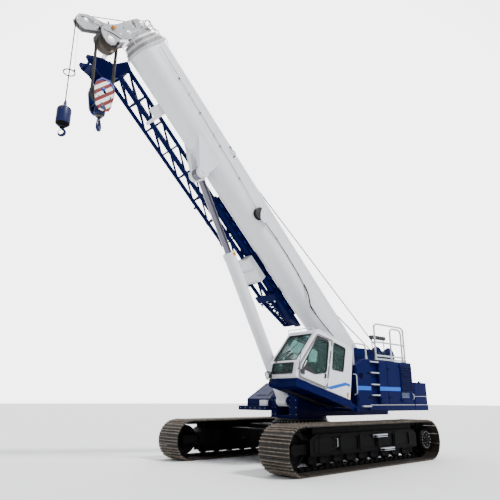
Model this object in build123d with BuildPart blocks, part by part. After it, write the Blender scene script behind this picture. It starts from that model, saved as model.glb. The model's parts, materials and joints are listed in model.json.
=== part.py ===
from build123d import *
from math import atan2, cos, degrees, hypot, pi, radians, sin
import os

# Telescopic boom crawler crane, boom retracted and raised, cab tipped up.
# Millimetres. X forward, Y to the machine's left, Z up. Ground at Z = 0.
# Lengthwise places are measured from the slewing axis, which stands at X = slew_x.

os.makedirs("parts", exist_ok=True)

running_gap = 0.3
pin_gap = 0.3
door_gap = 8

# Crawler tracks
track_length = 6100
track_height = 1015
shoe_width = 876
overall_width = 4810
shoe_count = 60
shoe_thickness = 62
grouser_height = 16
shoe_joint_depth = 40
link_thickness = 74
link_width = 200

# Track frames and their wheels
frame_width = 460
frame_bottom = 355
frame_top = 800
frame_setback = 900
flange_thickness = 20
flange_bottom = 205
roller_pitch = 470
roller_setback = 260
skid_setback = 900
panel_pitch = 740
panel_length = 600
panel_height = 300
panel_depth = 25
roller_radius = 105
roller_shaft_radius = 40
wheel_width = 180
fork_thickness = 40
sprocket_teeth = 14
final_drive_radius = 270
final_drive_depth = 235
step_front = -450
step_length = 560
step_depth = 90
step_rise = 320
step_shift = 280
step_top = 690

# Car body and slewing ring
body_half_length = 960
body_half_width = 1180
body_bottom = 430
body_top = 900
axle_length = 380
axle_bottom = 470
axle_top = 800
ring_seat_radius = 800
ring_radius = 720
ring_bore = 560
ring_bottom = 960
ring_top = 1050
lug_hole_radius = 35
lug_thickness = 40
lug_y = 700
lug_z = 560
lug_reach = 120

# Upper frame
frame_floor = 1100
floor_thickness = 40
plate_inner = 405
plate_thickness = 40
frame_front = 720
girder_rear = 250
girder_top = 1750
girder_inner = 225
girder_outer = 545
frame_rear = -3595
winch_seat = 2560
winch_seat_rear = -4330

# Boom: foot pivot, angle and sections
foot_x = -2350
foot_z = 2420
boom_angle = 44
foot_pin_radius = 90
boom_width = 750
boom_height = 950
section_step = 60
boom_wall = 12
corner_radius = 80
boom_rear = -300
foot_casting_front = 150
collar_front = 11060
collar_step = 75
collar_length = 70
collar_lip = 45
section_count = 5
section_rear = 300
section_rear_step = 40

# Lift cylinder: foot on the frame, rod eye on the boom's bracket
lift_foot_x = 660
lift_foot_z = 1500
lift_pin_along = 7722
lift_pin_normal = -785
lift_pin_radius = 70
barrel_radius = 165
barrel_bore = 130
barrel_length = 4260
gland_length = 150
rod_radius = 92
rod_length = 4500
piston_length = 200
eye_radius = 145
foot_eye_half = 170
rod_eye_half = 110
lug_half_gap = 115
skirt_length = 1320
skirt_ahead = 578
skirt_foot_length = 330
skirt_foot_width = 470
foot_boss_gap = 5

# Boom head, in boom coordinates
head_sheave_along = 11516
head_sheave_normal = -973
sheave_radius = 245
sheave_width = 44
sheave_pitch = 56
top_sheave_along = 11600
top_sheave_normal = 205
top_sheave_radius = 150
head_plate_inner = 200
head_plate_thickness = 30
head_front = 11780
rooster_along = 12157
rooster_normal = -1160
rooster_radius = 190
rooster_width = 44
rooster_plate_inner = 60
rooster_plate_thickness = 20

# Hooks, heights above ground
rope_radius = 14
whip_radius = 10
rope_gap = 0.5
block_sheave_z = 8290
block_top = 8610
block_low = 7810
block_plate_inner = 150
block_plate_thickness = 25
block_bottom = 7765
main_hook_bottom = 7370
main_hook_radius = 105
main_hook_bar = 42
main_hook_turn = 48
weight_top = 7630
weight_bottom = 7130
weight_radius = 155
aux_hook_bottom = 6910
aux_hook_radius = 72
aux_hook_bar = 27
aux_hook_turn = -42

# Stowed jib, boom coordinates, on the boom's right
jib_inner = -700
jib_outer = -1110
jib_outer_rear = -1050
jib_top = -200
jib_bottom = -610
jib_bottom_rear = -520
shelf_thickness = 60
jib_rear = 3300
jib_front = 10900
fork_thickness_jib = 40
jib_panels = 10
chord_radius = 38
brace_radius = 16
saddle_along = 9480
saddle_length = 300
saddle_radius = 168
saddle_y = -436
saddle_normal = -387
saddle_arm_length = 80
box_rear = 2550
box_front = 6900
box_inner = -455
box_side = 205
box_top = -265

# Cab, in coordinates along and across its tipped floor from the tilt axis
cab_x = -600
cab_z = 1290
cab_tilt = 14
cab_inner = 560
cab_outer = 1500
hinge_y = 1518
door_rear = 1355
cab_wall = 60
glass_depth = 24
glass_thickness = 10
hinge_radius = 16
platform_top = 140
platform_bottom = -40
platform_front = 2470
platform_rear = 300
platform_rim = 60
tilt_tube_radius = 55

# House, decks and counterweight
house_front = -700
house_rear = -3560
house_inner = plate_inner + plate_thickness
house_outer = 1400
house_slope_start = -1130
house_slope_bottom = 2435
deck_bottom = 1236
sill_top = 1405
sill_front = -1233
sill_reach = 30
house_bottom = 1260
house_top = 2640
house_wall = 40
counterweight_rear = -4390
counterweight_bottom = 1236
counterweight_top = 2060
front_box_front = 744
front_box_low = 1559
front_box_top = 2015
front_box_slope = -40
foot_plate_front = 900
foot_plate_side = 1600
foot_plate_bottom = 1250
foot_plate_top = 1370
step_heights = (1620, 1910, 2230, 2530)
step_channel = (-1780, -1380)
channel_depth = 70
slab_seam = 1650
rail_y = 1300
rail_radius = 26
rail_top = 3710
rail_middle = 3173
rail_bend = 150
rail_front = -1850
rail_rear = -3410
hoop_front = -2670
hoop_rear = -3270
hoop_top = 3630
handrail_rear = -1365
handrail_front = -760
handrail_top = 3050
handrail_radius = 22
hood_height = 340
reel_along = 5900
reel_normal = -115

# Derived places
frame_half_length = track_length / 2 - frame_setback
hinge_u = door_rear + door_gap
reach = (track_length - track_height) / 2
track_radius = track_height / 2
wheel_y = (overall_width - shoe_width) / 2
link_radius = track_radius - shoe_thickness
wheel_radius = link_radius - link_thickness - running_gap
ca = cos(radians(boom_angle))
sa = sin(radians(boom_angle))


def boom_point(along, normal):
    # a point of the boom's plane of symmetry, as X from the slewing axis and Z
    return foot_x + along * ca - normal * sa, foot_z + along * sa + normal * ca


rooster_x, rooster_z = boom_point(rooster_along, rooster_normal)
head_sheave_x, head_sheave_z = boom_point(head_sheave_along, head_sheave_normal)
lift_eye_x, lift_eye_z = boom_point(lift_pin_along, lift_pin_normal)
lift_length = hypot(lift_eye_x - lift_foot_x, lift_eye_z - lift_foot_z)
lift_angle = degrees(atan2(lift_eye_z - lift_foot_z, lift_eye_x - lift_foot_x))
whip_x = rooster_x + rooster_radius + whip_radius + rope_gap
slew_x = -(whip_x + weight_radius + counterweight_rear) / 2


def side_plane(x, z, y, turn=0):
    # local x runs forward and local y up, both turned up by the angle; the normal points right
    a = radians(turn)
    return Plane(origin=(slew_x + x, y, z), x_dir=(cos(a), 0, sin(a)), z_dir=(0, -1, 0))


def cross_plane(x, z, turn=0):
    # local x runs to the left and local y up; the normal points forward, turned up by the angle
    a = radians(turn)
    return Plane(origin=(slew_x + x, 0, z), x_dir=(0, 1, 0), z_dir=(cos(a), 0, sin(a)))


def level_plane(z):
    return Plane(origin=(slew_x, 0, z))


def boom_side(y):
    return side_plane(foot_x, foot_z, y, boom_angle)


def boom_cross(along):
    return cross_plane(*boom_point(along, 0), boom_angle)


def cab_side(y):
    return side_plane(cab_x, cab_z, y, cab_tilt)


def cab_level(v):
    # plane parallel to the cab's floor; local x forward and local y to the left
    a = radians(cab_tilt)
    return Plane(origin=(slew_x + cab_x - v * sin(a), 0, cab_z + v * cos(a)), x_dir=(cos(a), 0, sin(a)),
                 z_dir=(-sin(a), 0, cos(a)))


def write(piece, name):
    piece.part.label = name
    export_step(piece.part, f"parts/{name}.step")


def plate(plane, points, thickness, mode=Mode.ADD):
    # a flat plate of the outline's shape, in the part being built
    with BuildSketch(plane) as outline:
        Polygon(*points, align=None)
    extrude(outline.sketch, amount=thickness, dir=plane.z_dir, mode=mode)


def disc(plane, radius, thickness, centre=(0, 0), mode=Mode.ADD):
    # a disc or shaft from the plane along its normal
    with BuildSketch(plane) as outline:
        with Locations(centre):
            Circle(radius)
    extrude(outline.sketch, amount=thickness, dir=plane.z_dir, mode=mode)


def block(x_range, y_range, z_range, mode=Mode.ADD):
    # a box between two stations, two sides and two heights
    with BuildSketch(level_plane(z_range[0])) as outline:
        with Locations(((x_range[0] + x_range[1]) / 2, (y_range[0] + y_range[1]) / 2)):
            Rectangle(x_range[1] - x_range[0], y_range[1] - y_range[0])
    extrude(outline.sketch, amount=z_range[1] - z_range[0], mode=mode)


# Undercarriage

def on_loop(s, depth):
    # the point at arc length s round the track's outside, at a depth below the grousers
    r = track_radius - depth
    straight = 2 * reach
    arc = pi * track_radius
    s = s % (2 * straight + 2 * arc)
    if s < straight:
        return (-reach + s, track_radius - r)
    s -= straight
    if s < arc:
        a = -pi / 2 + s / track_radius
        return (reach + r * cos(a), track_radius + r * sin(a))
    s -= arc
    if s < straight:
        return (reach - s, track_radius + r)
    a = pi / 2 + (s - straight) / track_radius
    return (-reach + r * cos(a), track_radius + r * sin(a))


def shoe_outline():
    pitch = (4 * reach + 2 * pi * track_radius) / shoe_count
    half_bar = 0.12 * pitch
    half_plate = 0.45 * pitch
    # columns: place along the shoe, depth below the grouser's tip
    profile = ((-half_plate, shoe_joint_depth), (-half_plate, grouser_height), (-half_bar, grouser_height),
               (-half_bar, 0), (half_bar, 0), (half_bar, grouser_height),
               (half_plate, grouser_height), (half_plate, shoe_joint_depth))
    points = []
    for shoe in range(shoe_count):
        for along, depth in profile:
            points.append(on_loop((shoe + 0.5) * pitch + along, depth))
    return points


def track(name, y):
    with BuildPart() as piece:
        with BuildSketch(side_plane(0, 0, y)):
            with BuildLine():
                Polyline(*shoe_outline(), close=True)
            make_face()
            with Locations((0, track_radius)):
                SlotCenterToCenter(2 * reach, 2 * link_radius, mode=Mode.SUBTRACT)
        extrude(amount=shoe_width / 2, both=True)
        with BuildSketch(side_plane(0, track_radius, y)):
            SlotCenterToCenter(2 * reach, 2 * link_radius + 2)
            SlotCenterToCenter(2 * reach, 2 * (link_radius - link_thickness), mode=Mode.SUBTRACT)
        extrude(amount=link_width / 2, both=True)
    write(piece, name)


def track_frame(name, y, side):
    # side is 1 on the left, -1 on the right; the outer face points away from the machine
    half = frame_width / 2
    skid_top = track_height - shoe_thickness - link_thickness - running_gap
    panel_count = int(2 * frame_half_length / panel_pitch)
    with BuildPart() as piece:
        with BuildSketch(side_plane(0, 0, y)):
            with BuildLine():
                Polyline((-frame_half_length, frame_bottom), (frame_half_length, frame_bottom),
                         (frame_half_length, frame_top - 110), (frame_half_length - 170, frame_top),
                         (-frame_half_length + 170, frame_top), (-frame_half_length, frame_top - 110), close=True)
            make_face()
        extrude(amount=half, both=True)
        # shallow panels in the outer face
        outer = y + side * half
        with BuildSketch(side_plane(0, (frame_bottom + frame_top) / 2, outer + (0 if side > 0 else panel_depth))):
            with GridLocations(panel_pitch, 0, panel_count, 1):
                RectangleRounded(panel_length, panel_height, 40)
        extrude(amount=panel_depth, mode=Mode.SUBTRACT)
        # flanges that carry the rollers
        for flange in (-1, 1):
            flange_y = y + flange * (wheel_width / 2 + 25) + flange_thickness / 2
            with BuildSketch(side_plane(0, (flange_bottom + frame_bottom) / 2, flange_y)):
                Rectangle(2 * frame_half_length - 120, frame_bottom - flange_bottom)
            extrude(amount=flange_thickness)
        # skids under the upper run
        for centre in (-1, 0, 1):
            with BuildSketch(side_plane(centre * (frame_half_length - skid_setback), 0, y)):
                with BuildLine():
                    Polyline((-260, frame_top), (-180, skid_top), (180, skid_top), (260, frame_top), close=True)
                make_face()
            extrude(amount=link_width / 2, both=True)
        # forks at the idler and the sprocket
        for fork in (-1, 1):
            inner = y + fork * (wheel_width / 2 + 20)
            fork_y = inner + (fork_thickness if fork > 0 else 0)
            with BuildSketch(side_plane(0, 0, fork_y)):
                with Locations((reach, track_radius)):
                    Circle(120)
                with Locations(((reach + frame_half_length) / 2 - 30, track_radius)):
                    Rectangle(reach - frame_half_length + 60, 200)
            extrude(amount=fork_thickness)
        inner = y - side * (wheel_width / 2 + 20)
        fork_y = inner + (fork_thickness if side < 0 else 0)
        with BuildSketch(side_plane(0, 0, fork_y)):
            with Locations((-reach, track_radius)):
                Circle(230)
            with Locations((-(reach + frame_half_length) / 2 + 30, track_radius)):
                Rectangle(reach - frame_half_length + 60, 330)
        extrude(amount=fork_thickness)
        motor_y = inner - side * fork_thickness
        disc(side_plane(-reach, track_radius, motor_y + (0 if side > 0 else 190)), 140, 190)
        # two steps on the outer face, one above the other
        for index in range(2):
            with BuildSketch(side_plane(step_front - step_shift * index, step_top - step_rise * index,
                                        outer + (step_depth if side > 0 else 0))):
                Rectangle(step_length, 40)
            extrude(amount=step_depth)
    write(piece, name)


def wheels(name, y):
    shaft_half = wheel_width / 2 + 25 - flange_thickness / 2 - running_gap
    centre_z = shoe_thickness + link_thickness + roller_radius + running_gap
    pairs = int((frame_half_length - roller_setback) / roller_pitch)
    with BuildPart() as piece:
        # bottom rollers, then the idler at the front
        for index in range(2 * pairs + 1):
            plane = side_plane((index - pairs) * roller_pitch, centre_z, y)
            with BuildSketch(plane):
                Circle(roller_radius)
            extrude(amount=wheel_width / 2 - 5, both=True)
            with BuildSketch(plane):
                Circle(roller_shaft_radius)
            extrude(amount=shaft_half, both=True)
        hub_half = wheel_width / 2 + 20
        with BuildSketch(side_plane(reach, track_radius, y)):
            Circle(wheel_radius)
        extrude(amount=wheel_width / 2, both=True)
        for side in (-1, 1):
            start = y + side * wheel_width / 2 + (0 if side > 0 else 35)
            with BuildSketch(side_plane(reach, track_radius, start)):
                Circle(wheel_radius - 60)
                Circle(150, mode=Mode.SUBTRACT)
            extrude(amount=35, mode=Mode.SUBTRACT)
        disc(side_plane(reach, track_radius, y + hub_half), 90, 2 * hub_half)
    write(piece, name)


def sprocket(name, y, side):
    hub_half = wheel_width / 2 + 20
    with BuildPart() as piece:
        with BuildSketch(side_plane(-reach, track_radius, y)):
            Circle(wheel_radius)
            with PolarLocations(wheel_radius + 12, sprocket_teeth):
                Circle(48, mode=Mode.SUBTRACT)
        extrude(amount=60, both=True)
        disc(side_plane(-reach, track_radius, y + (0 if side > 0 else hub_half)), 200, hub_half)
        start = y + (60 + final_drive_depth if side > 0 else -60)
        with BuildSketch(side_plane(-reach, track_radius, start)):
            Circle(final_drive_radius)
        extrude(amount=final_drive_depth)
        rim = piece.faces().filter_by(Axis.Y).sort_by(Axis.Y)[-1 if side > 0 else 0]
        chamfer(rim.edges(), 35)
    write(piece, name)


def car_body():
    with BuildPart() as piece:
        with BuildSketch(level_plane(body_bottom)):
            Rectangle(2 * body_half_length, 2 * body_half_width)
        extrude(amount=body_top - body_bottom)
        chamfer(piece.faces().sort_by(Axis.Z)[-1].edges().filter_by(Axis.X), 160)
        disc(level_plane(body_top), ring_seat_radius, ring_bottom - body_top)
        half = wheel_y - frame_width / 2
        centre = body_half_length + axle_length / 2
        for side in (-1, 1):
            with BuildSketch(level_plane(axle_bottom)):
                with Locations((side * centre, 0)):
                    Rectangle(axle_length, 2 * half)
            extrude(amount=axle_top - axle_bottom)
            # level lashing lugs on the outer face of each cross beam
            outer = side * (body_half_length + axle_length)
            with BuildSketch(level_plane(lug_z - lug_thickness / 2)):
                for y in (-lug_y, lug_y):
                    with Locations((outer + side * lug_reach / 2, y)):
                        Rectangle(lug_reach, 150)
                    with Locations((outer + side * lug_reach, y)):
                        Circle(75)
                        Circle(lug_hole_radius, mode=Mode.SUBTRACT)
            extrude(amount=lug_thickness)
    write(piece, "carbody")


def slew_ring():
    with BuildPart() as piece:
        with BuildSketch(level_plane(ring_bottom)):
            Circle(ring_radius)
            Circle(ring_bore, mode=Mode.SUBTRACT)
        extrude(amount=ring_top - ring_bottom)
    write(piece, "slew_ring")


# Upper frame and what stands on it

def upper_frame():
    outer = plate_inner + plate_thickness
    boss_inner = foot_eye_half + foot_boss_gap
    girder_bottom = ring_top + 30
    with BuildPart() as piece:
        block((frame_rear, frame_front), (-outer, outer), (frame_floor, frame_floor + floor_thickness))
        disc(level_plane(ring_top + running_gap), ring_radius - 20, frame_floor - ring_top - running_gap)
        for side in (-1, 1):
            start = outer if side > 0 else -plate_inner
            with BuildSketch(side_plane(0, 0, start)):
                with BuildLine():
                    Polyline((frame_rear, frame_floor), (girder_rear + 50, frame_floor),
                             (girder_rear + 50, girder_top), (-1700, 2650), (-2700, 2650), (-2900, winch_seat),
                             (winch_seat_rear, winch_seat), (winch_seat_rear, counterweight_top + 5),
                             (frame_rear, counterweight_top + 5), close=True)
                make_face()
                fillet([v for v in vertices() if v.Y > 2600], 60)
            extrude(amount=plate_thickness)
            # box girder beside the lift cylinder's foot, with the boss of its pin
            girder_side = girder_outer if side > 0 else outer
            plate(side_plane(0, 0, girder_side if side > 0 else -girder_inner),
                  ((girder_rear, girder_bottom), (frame_front, girder_bottom), (frame_front, girder_top - 140),
                   (frame_front - 120, girder_top), (girder_rear, girder_top)), girder_side - girder_inner)
            disc(side_plane(lift_foot_x, lift_foot_z, girder_inner if side > 0 else -boss_inner), 110,
                 girder_inner - boss_inner)
        # foot pin of the boom
        disc(side_plane(foot_x, foot_z, plate_inner), foot_pin_radius, 2 * plate_inner)
        # cross members behind the boom foot
        block((-3300, -3060), (-plate_inner, plate_inner), (frame_floor, 2500))
        block((winch_seat_rear, -3080), (-plate_inner, plate_inner), (winch_seat - 60, winch_seat))
        # decks that carry the housings
        for side in (-1, 1):
            block((house_rear, house_front), sorted((side * outer, side * house_outer)), (deck_bottom, house_bottom))
        # tilt tube of the cab
        disc(side_plane(cab_x, cab_z, cab_outer - 100), tilt_tube_radius, cab_outer - 100 - outer)
    write(piece, "upper_frame")


house_outline = ((house_rear, house_bottom), (house_front, house_bottom), (house_front, house_slope_bottom),
                 (house_slope_start, house_top), (house_rear, house_top))


def house_left():
    with BuildPart() as piece:
        plate(side_plane(0, 0, house_outer), house_outline, house_outer - house_inner)
        fillet(piece.faces().filter_by(Axis.Z).sort_by(Axis.Z)[-1].edges(), 25)
        # sill along the foot of the side
        block((house_rear, sill_front), (house_outer - 10, house_outer + sill_reach), (house_bottom, sill_top))
        # channel of the climbing steps
        block(step_channel, (house_outer - channel_depth, house_outer), (sill_top, house_top), mode=Mode.SUBTRACT)
    write(piece, "house_left")


def house_right():
    with BuildPart() as piece:
        block((house_rear, house_front), (-house_outer, -house_inner), (house_bottom, house_top))
        fillet(piece.faces().sort_by(Axis.Z)[-1].edges(), 25)
        block((house_rear + house_wall, house_front - house_wall),
              (-house_outer + house_wall, -house_inner - house_wall),
              (house_bottom + house_wall, house_top - house_wall), mode=Mode.SUBTRACT)
    write(piece, "house_right")


def engine():
    with BuildPart() as piece:
        block((-3000, -1500), (-1250, -600), (house_bottom + house_wall, 2250))
    write(piece, "engine")


def hood():
    # guard over the hoses behind the cab, rounded at its rear
    with BuildPart() as piece:
        block((-2220, house_slope_start - 10), (480, 1050), (house_top, house_top + hood_height))
        crown = piece.edges().filter_by(Axis.Y).group_by(Axis.Z)[-1].sort_by(Axis.X)
        fillet(crown[0], hood_height - 70)
        fillet(piece.edges().filter_by(Axis.Y).group_by(Axis.Z)[-1].sort_by(Axis.X)[-1], 40)
    write(piece, "hood")


def counterweight():
    with BuildPart() as piece:
        block((counterweight_rear, frame_rear), (-house_outer, house_outer),
              (counterweight_bottom, counterweight_top))
        fillet(piece.edges().filter_by(Axis.Z).group_by(Axis.X)[0], 40)
        # wider foot in line with the sill of the house
        reach_out = house_outer + sill_reach
        block((counterweight_rear + 60, frame_rear), (-reach_out, reach_out), (counterweight_bottom, sill_top))
        # groove between the two slabs
        block((counterweight_rear, counterweight_rear + 12), (-house_outer, house_outer), (slab_seam, slab_seam + 12),
              mode=Mode.SUBTRACT)
    write(piece, "counterweight")


def front_box():
    with BuildPart() as piece:
        plate(side_plane(0, 0, -house_inner),
              ((house_front, foot_plate_bottom), (front_box_front, foot_plate_bottom),
               (front_box_front, front_box_low), (front_box_slope, front_box_top),
               (house_front, front_box_top)), house_outer - house_inner)
        # foot plate round its front and outer side
        block((house_front, foot_plate_front), (-foot_plate_side, -house_inner), (foot_plate_bottom, foot_plate_top))
    write(piece, "front_box")


def grille_and_steps():
    with BuildPart() as piece:
        depth = 25
        with BuildSketch(side_plane(-3220, 2150, house_outer + depth)):
            Rectangle(620, 780)
            with GridLocations(0, 70, 1, 10):
                Rectangle(540, 34, mode=Mode.SUBTRACT)
        extrude(amount=depth)
        for z in step_heights:
            block(step_channel, (house_outer - channel_depth, house_outer + 10), (z, z + 40))
    write(piece, "grille_and_steps")


def bent_tube(plane, points, bend, radius):
    # a round tube along a run of points with rounded corners
    with BuildLine(plane) as path:
        FilletPolyline(*points, radius=bend)
    with BuildSketch(Plane(origin=path.line @ 0, z_dir=path.line % 0)) as section:
        Circle(radius)
    sweep(section.sketch, path=path.line)


def guard_rails():
    plane = side_plane(0, 0, rail_y)
    with BuildPart() as piece:
        bent_tube(plane, ((rail_front, house_top), (rail_front, rail_top), (rail_rear, rail_top),
                          (rail_rear, house_top)), rail_bend, rail_radius)
        bent_tube(plane, ((hoop_front, house_top), (hoop_front, hoop_top), (hoop_rear, hoop_top),
                          (hoop_rear, house_top)), rail_bend, rail_radius)
        # middle rail and toe bars
        disc(cross_plane(rail_rear, rail_middle), rail_radius - 1, rail_front - rail_rear, (rail_y, 0))
        for z in (house_top + 20, house_top + 120):
            block((rail_rear, rail_front), (rail_y - 5, rail_y + 5), (z, z + 50))
        # handrail over the sloped front of the house
        bent_tube(plane, ((handrail_rear, house_top), (handrail_rear, handrail_top),
                          (handrail_front, handrail_top), (handrail_front, house_slope_bottom)),
                  rail_bend, handrail_radius)
        plate(side_plane(0, 0, house_outer), house_outline, house_outer - house_inner, mode=Mode.SUBTRACT)
    write(piece, "guard_rails")


def winch(name, x):
    # drum between two flanges on a saddle
    z = winch_seat + 350
    half = 340
    with BuildPart() as piece:
        disc(side_plane(x, z, half), 200, 2 * half)
        for side in (-1, 1):
            start = side * half + (25 if side > 0 else 0)
            disc(side_plane(x, z, start), 300, 25)
            with BuildSketch(side_plane(x, 0, side * (half + 25) + (30 if side > 0 else 0))):
                with BuildLine():
                    Polyline((-240, winch_seat), (240, winch_seat), (140, z + 60), (-140, z + 60), close=True)
                make_face()
            extrude(amount=30)
    write(piece, name)


# Cab

def cab_profile():
    # outline of the cab's side, in the sketch being built
    Polygon((380, platform_top), (2440, platform_top), (2530, 220), (2530, 520), (2040, 1450),
            (1940, 1542), (600, 1542), (480, 1450), align=None)
    fillet(vertices(), 45)


windscreen_cut = ((2600, 590), (2120, 1420), (1980, 1340), (2400, 560))
lower_cut = ((2430, 230), (2600, 230), (2600, 500), (2430, 500))
roof_cut = ((1050, 1450), (1850, 1450), (1850, 1600), (1050, 1600))
rear_cut = ((300, 780), (620, 780), (620, 1330), (300, 1330))
door_cut = ((door_rear, 190), (2400, 190), (2440, 480), (1960, 1400), (door_rear, 1430))
quarter_cut = ((790, 780), (1230, 720), (1290, 1400), (800, 1400))
right_cut = ((800, 600), (2250, 560), (1850, 1400), (800, 1400))
door_window = ((1440, 560), (1850, 420), (2300, 560), (1920, 1310), (1490, 1350))


def cab_shell():
    with BuildPart() as piece:
        with BuildSketch(cab_side(cab_outer)):
            cab_profile()
        extrude(amount=cab_outer - cab_inner)
        with BuildSketch(cab_side(cab_outer - cab_wall)):
            cab_profile()
            offset(amount=-cab_wall, mode=Mode.REPLACE)
        extrude(amount=cab_outer - cab_inner - 2 * cab_wall, mode=Mode.SUBTRACT)
        for outline, start, depth in ((windscreen_cut, cab_outer - 70, cab_outer - cab_inner - 140),
                                      (lower_cut, cab_outer - 110, cab_outer - cab_inner - 220),
                                      (roof_cut, cab_outer - 150, cab_outer - cab_inner - 300),
                                      (rear_cut, cab_outer - 200, cab_outer - cab_inner - 400),
                                      (door_cut, cab_outer + 5, cab_wall + 10),
                                      (quarter_cut, cab_outer + 5, cab_wall + 10),
                                      (right_cut, cab_inner + cab_wall + 5, cab_wall + 10)):
            with BuildSketch(cab_side(start)):
                with BuildLine():
                    Polyline(*outline, close=True)
                make_face()
            extrude(amount=depth, mode=Mode.SUBTRACT)
    write(piece, "cab_shell")


def curved_pane(outline, start, depth):
    # glass in a slot of the cab's skin: a thin shell of the outline, kept inside the opening
    plane = cab_side(start)
    with BuildSketch(plane) as band:
        cab_profile()
        offset(amount=-glass_depth, mode=Mode.REPLACE)
        with BuildSketch(mode=Mode.SUBTRACT):
            cab_profile()
            offset(amount=-glass_depth - glass_thickness, mode=Mode.REPLACE)
        Polygon(*outline, align=None, mode=Mode.INTERSECT)
    extrude(band.sketch, amount=depth, dir=plane.z_dir)


def flat_pane(outline, start):
    plate(cab_side(start), outline, glass_thickness)


def cab_glass():
    with BuildPart() as piece:
        for outline, margin in ((windscreen_cut, 70), (lower_cut, 110), (roof_cut, 150), (rear_cut, 200)):
            curved_pane(outline, cab_outer - margin, cab_outer - cab_inner - 2 * margin)
        flat_pane(quarter_cut, cab_outer - glass_depth)
        flat_pane(right_cut, cab_inner + glass_depth + glass_thickness)
    write(piece, "cab_glass")


def cab_door():
    with BuildPart() as piece:
        with BuildSketch(cab_side(cab_outer)):
            with BuildLine():
                Polyline(*door_cut, close=True)
            make_face()
            offset(amount=-door_gap, mode=Mode.REPLACE)
            with BuildLine():
                Polyline(*door_window, close=True)
            make_face(mode=Mode.SUBTRACT)
        extrude(amount=cab_wall)
        # hinge knuckles on leaves along the door's rear edge
        for v in (330, 1150):
            plate(cab_side(cab_outer + 10), ((hinge_u, v), (hinge_u + 70, v), (hinge_u + 70, v + 110),
                                             (hinge_u, v + 110)), 10)
            disc(cab_level(v), hinge_radius, 110, (hinge_u, hinge_y))
    write(piece, "door")
    with BuildPart() as pane:
        flat_pane(door_window, cab_outer - glass_depth)
    write(pane, "door_glass")


def cab_platform():
    width = cab_outer - cab_inner
    with BuildPart() as piece:
        plate(cab_side(cab_outer), ((platform_rear, platform_top), (platform_front, platform_top),
                                    (platform_front, 10), (platform_front - 60, platform_bottom),
                                    (platform_rear, platform_bottom)), width)
        # recess of the underside between its rims
        with BuildSketch(cab_side(cab_outer - platform_rim)) as recess:
            Polygon((platform_rear + 100, platform_bottom), (platform_front - 320, platform_bottom),
                    (platform_front - 320, platform_top - 80), (platform_rear + 100, platform_top - 80), align=None)
        extrude(recess.sketch, amount=width - 2 * platform_rim, dir=Vector(0, -1, 0), mode=Mode.SUBTRACT)
        for y in (cab_inner + 60, cab_outer - 120):
            with BuildSketch(cab_side(y + 40)):
                with BuildLine():
                    Polyline((0, -95), (platform_rear, platform_bottom), (platform_rear, platform_top), (0, 95),
                             close=True)
                make_face()
                Circle(95)
                Circle(tilt_tube_radius + pin_gap, mode=Mode.SUBTRACT)
            extrude(amount=40)
    write(piece, "cab_platform")


def cab_interior():
    with BuildPart() as piece:
        for outline in (((850, 200), (1250, 200), (1250, 420), (850, 420)),
                        ((780, 420), (1330, 420), (1330, 560), (780, 560)),
                        ((680, 560), (840, 560), (770, 1220), (640, 1220))):
            plate(cab_side(1290), outline, 520)
        # steering pedestal and dashboard
        plate(cab_side(1180), ((2150, 200), (2380, 200), (2380, 620), (2200, 640)), 300)
    write(piece, "cab_interior")


# Boom

def section_outline(width, height):
    # flat sides and top, small upper corners and a deep round bottom
    Rectangle(width, height)
    fillet(vertices().group_by(Axis.Y)[-1], corner_radius)
    fillet(vertices().group_by(Axis.Y)[0], 0.47 * width)


def solid_profile(rear, front, width, height, mode=Mode.ADD):
    plane = boom_cross(rear)
    with BuildSketch(plane) as outline:
        section_outline(width, height)
    extrude(outline.sketch, amount=front - rear, dir=plane.z_dir, mode=mode)


def tube_piece(index):
    # one hollow section with its collar
    width = boom_width - index * section_step
    height = boom_height - index * section_step
    rear = boom_rear if index == 0 else section_rear + index * section_rear_step
    front = collar_front + index * collar_step
    next_width = width - section_step
    next_height = height - section_step
    solid_profile(rear, front, width, height)
    if index < section_count - 1:
        solid_profile(front - collar_length, front, width + 2 * collar_lip, height + 2 * collar_lip)
    bore_front = front - collar_length if index < section_count - 1 else front
    solid_profile(rear, bore_front, width - 2 * boom_wall, height - 2 * boom_wall, mode=Mode.SUBTRACT)
    if index < section_count - 1:
        solid_profile(front - collar_length, front, next_width + 2 * running_gap,
                      next_height + 2 * running_gap, mode=Mode.SUBTRACT)


def lift_bracket():
    # tapered skirt under the boom that ends in two lugs with the pin between them
    across = boom_cross(0)
    depth = 40
    skirt_top = Plane(origin=across.origin - depth * across.y_dir, x_dir=across.z_dir, z_dir=-across.y_dir)
    with BuildPart() as skirt:
        with BuildSketch(skirt_top):
            with Locations((lift_pin_along + skirt_ahead, 0)):
                Rectangle(skirt_length, boom_width + 24)
        with BuildSketch(skirt_top.offset(-lift_pin_normal - depth)):
            with Locations((lift_pin_along + 38, 0)):
                Rectangle(skirt_foot_length, skirt_foot_width)
        loft()
        disc(boom_side(skirt_foot_width / 2), 165, skirt_foot_width, (lift_pin_along, lift_pin_normal))
        with BuildSketch(boom_side(lug_half_gap)):
            with Locations((lift_pin_along - 22, lift_pin_normal + 25)):
                Rectangle(1100, 520)
        extrude(amount=2 * lug_half_gap, mode=Mode.SUBTRACT)
        disc(boom_side(skirt_foot_width / 2), lift_pin_radius, skirt_foot_width, (lift_pin_along, lift_pin_normal))
        # let into the outer half of the boom's wall
        solid_profile(lift_pin_along - 720, lift_pin_along + 1780, boom_width - boom_wall,
                      boom_height - boom_wall, mode=Mode.SUBTRACT)
    return skirt.part


def jib_low(along):
    # height of the stowed jib's lower chords, which run a little down towards the front
    return jib_bottom_rear + (along - jib_rear) / (jib_front - jib_rear) * (jib_bottom - jib_bottom_rear)


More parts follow.
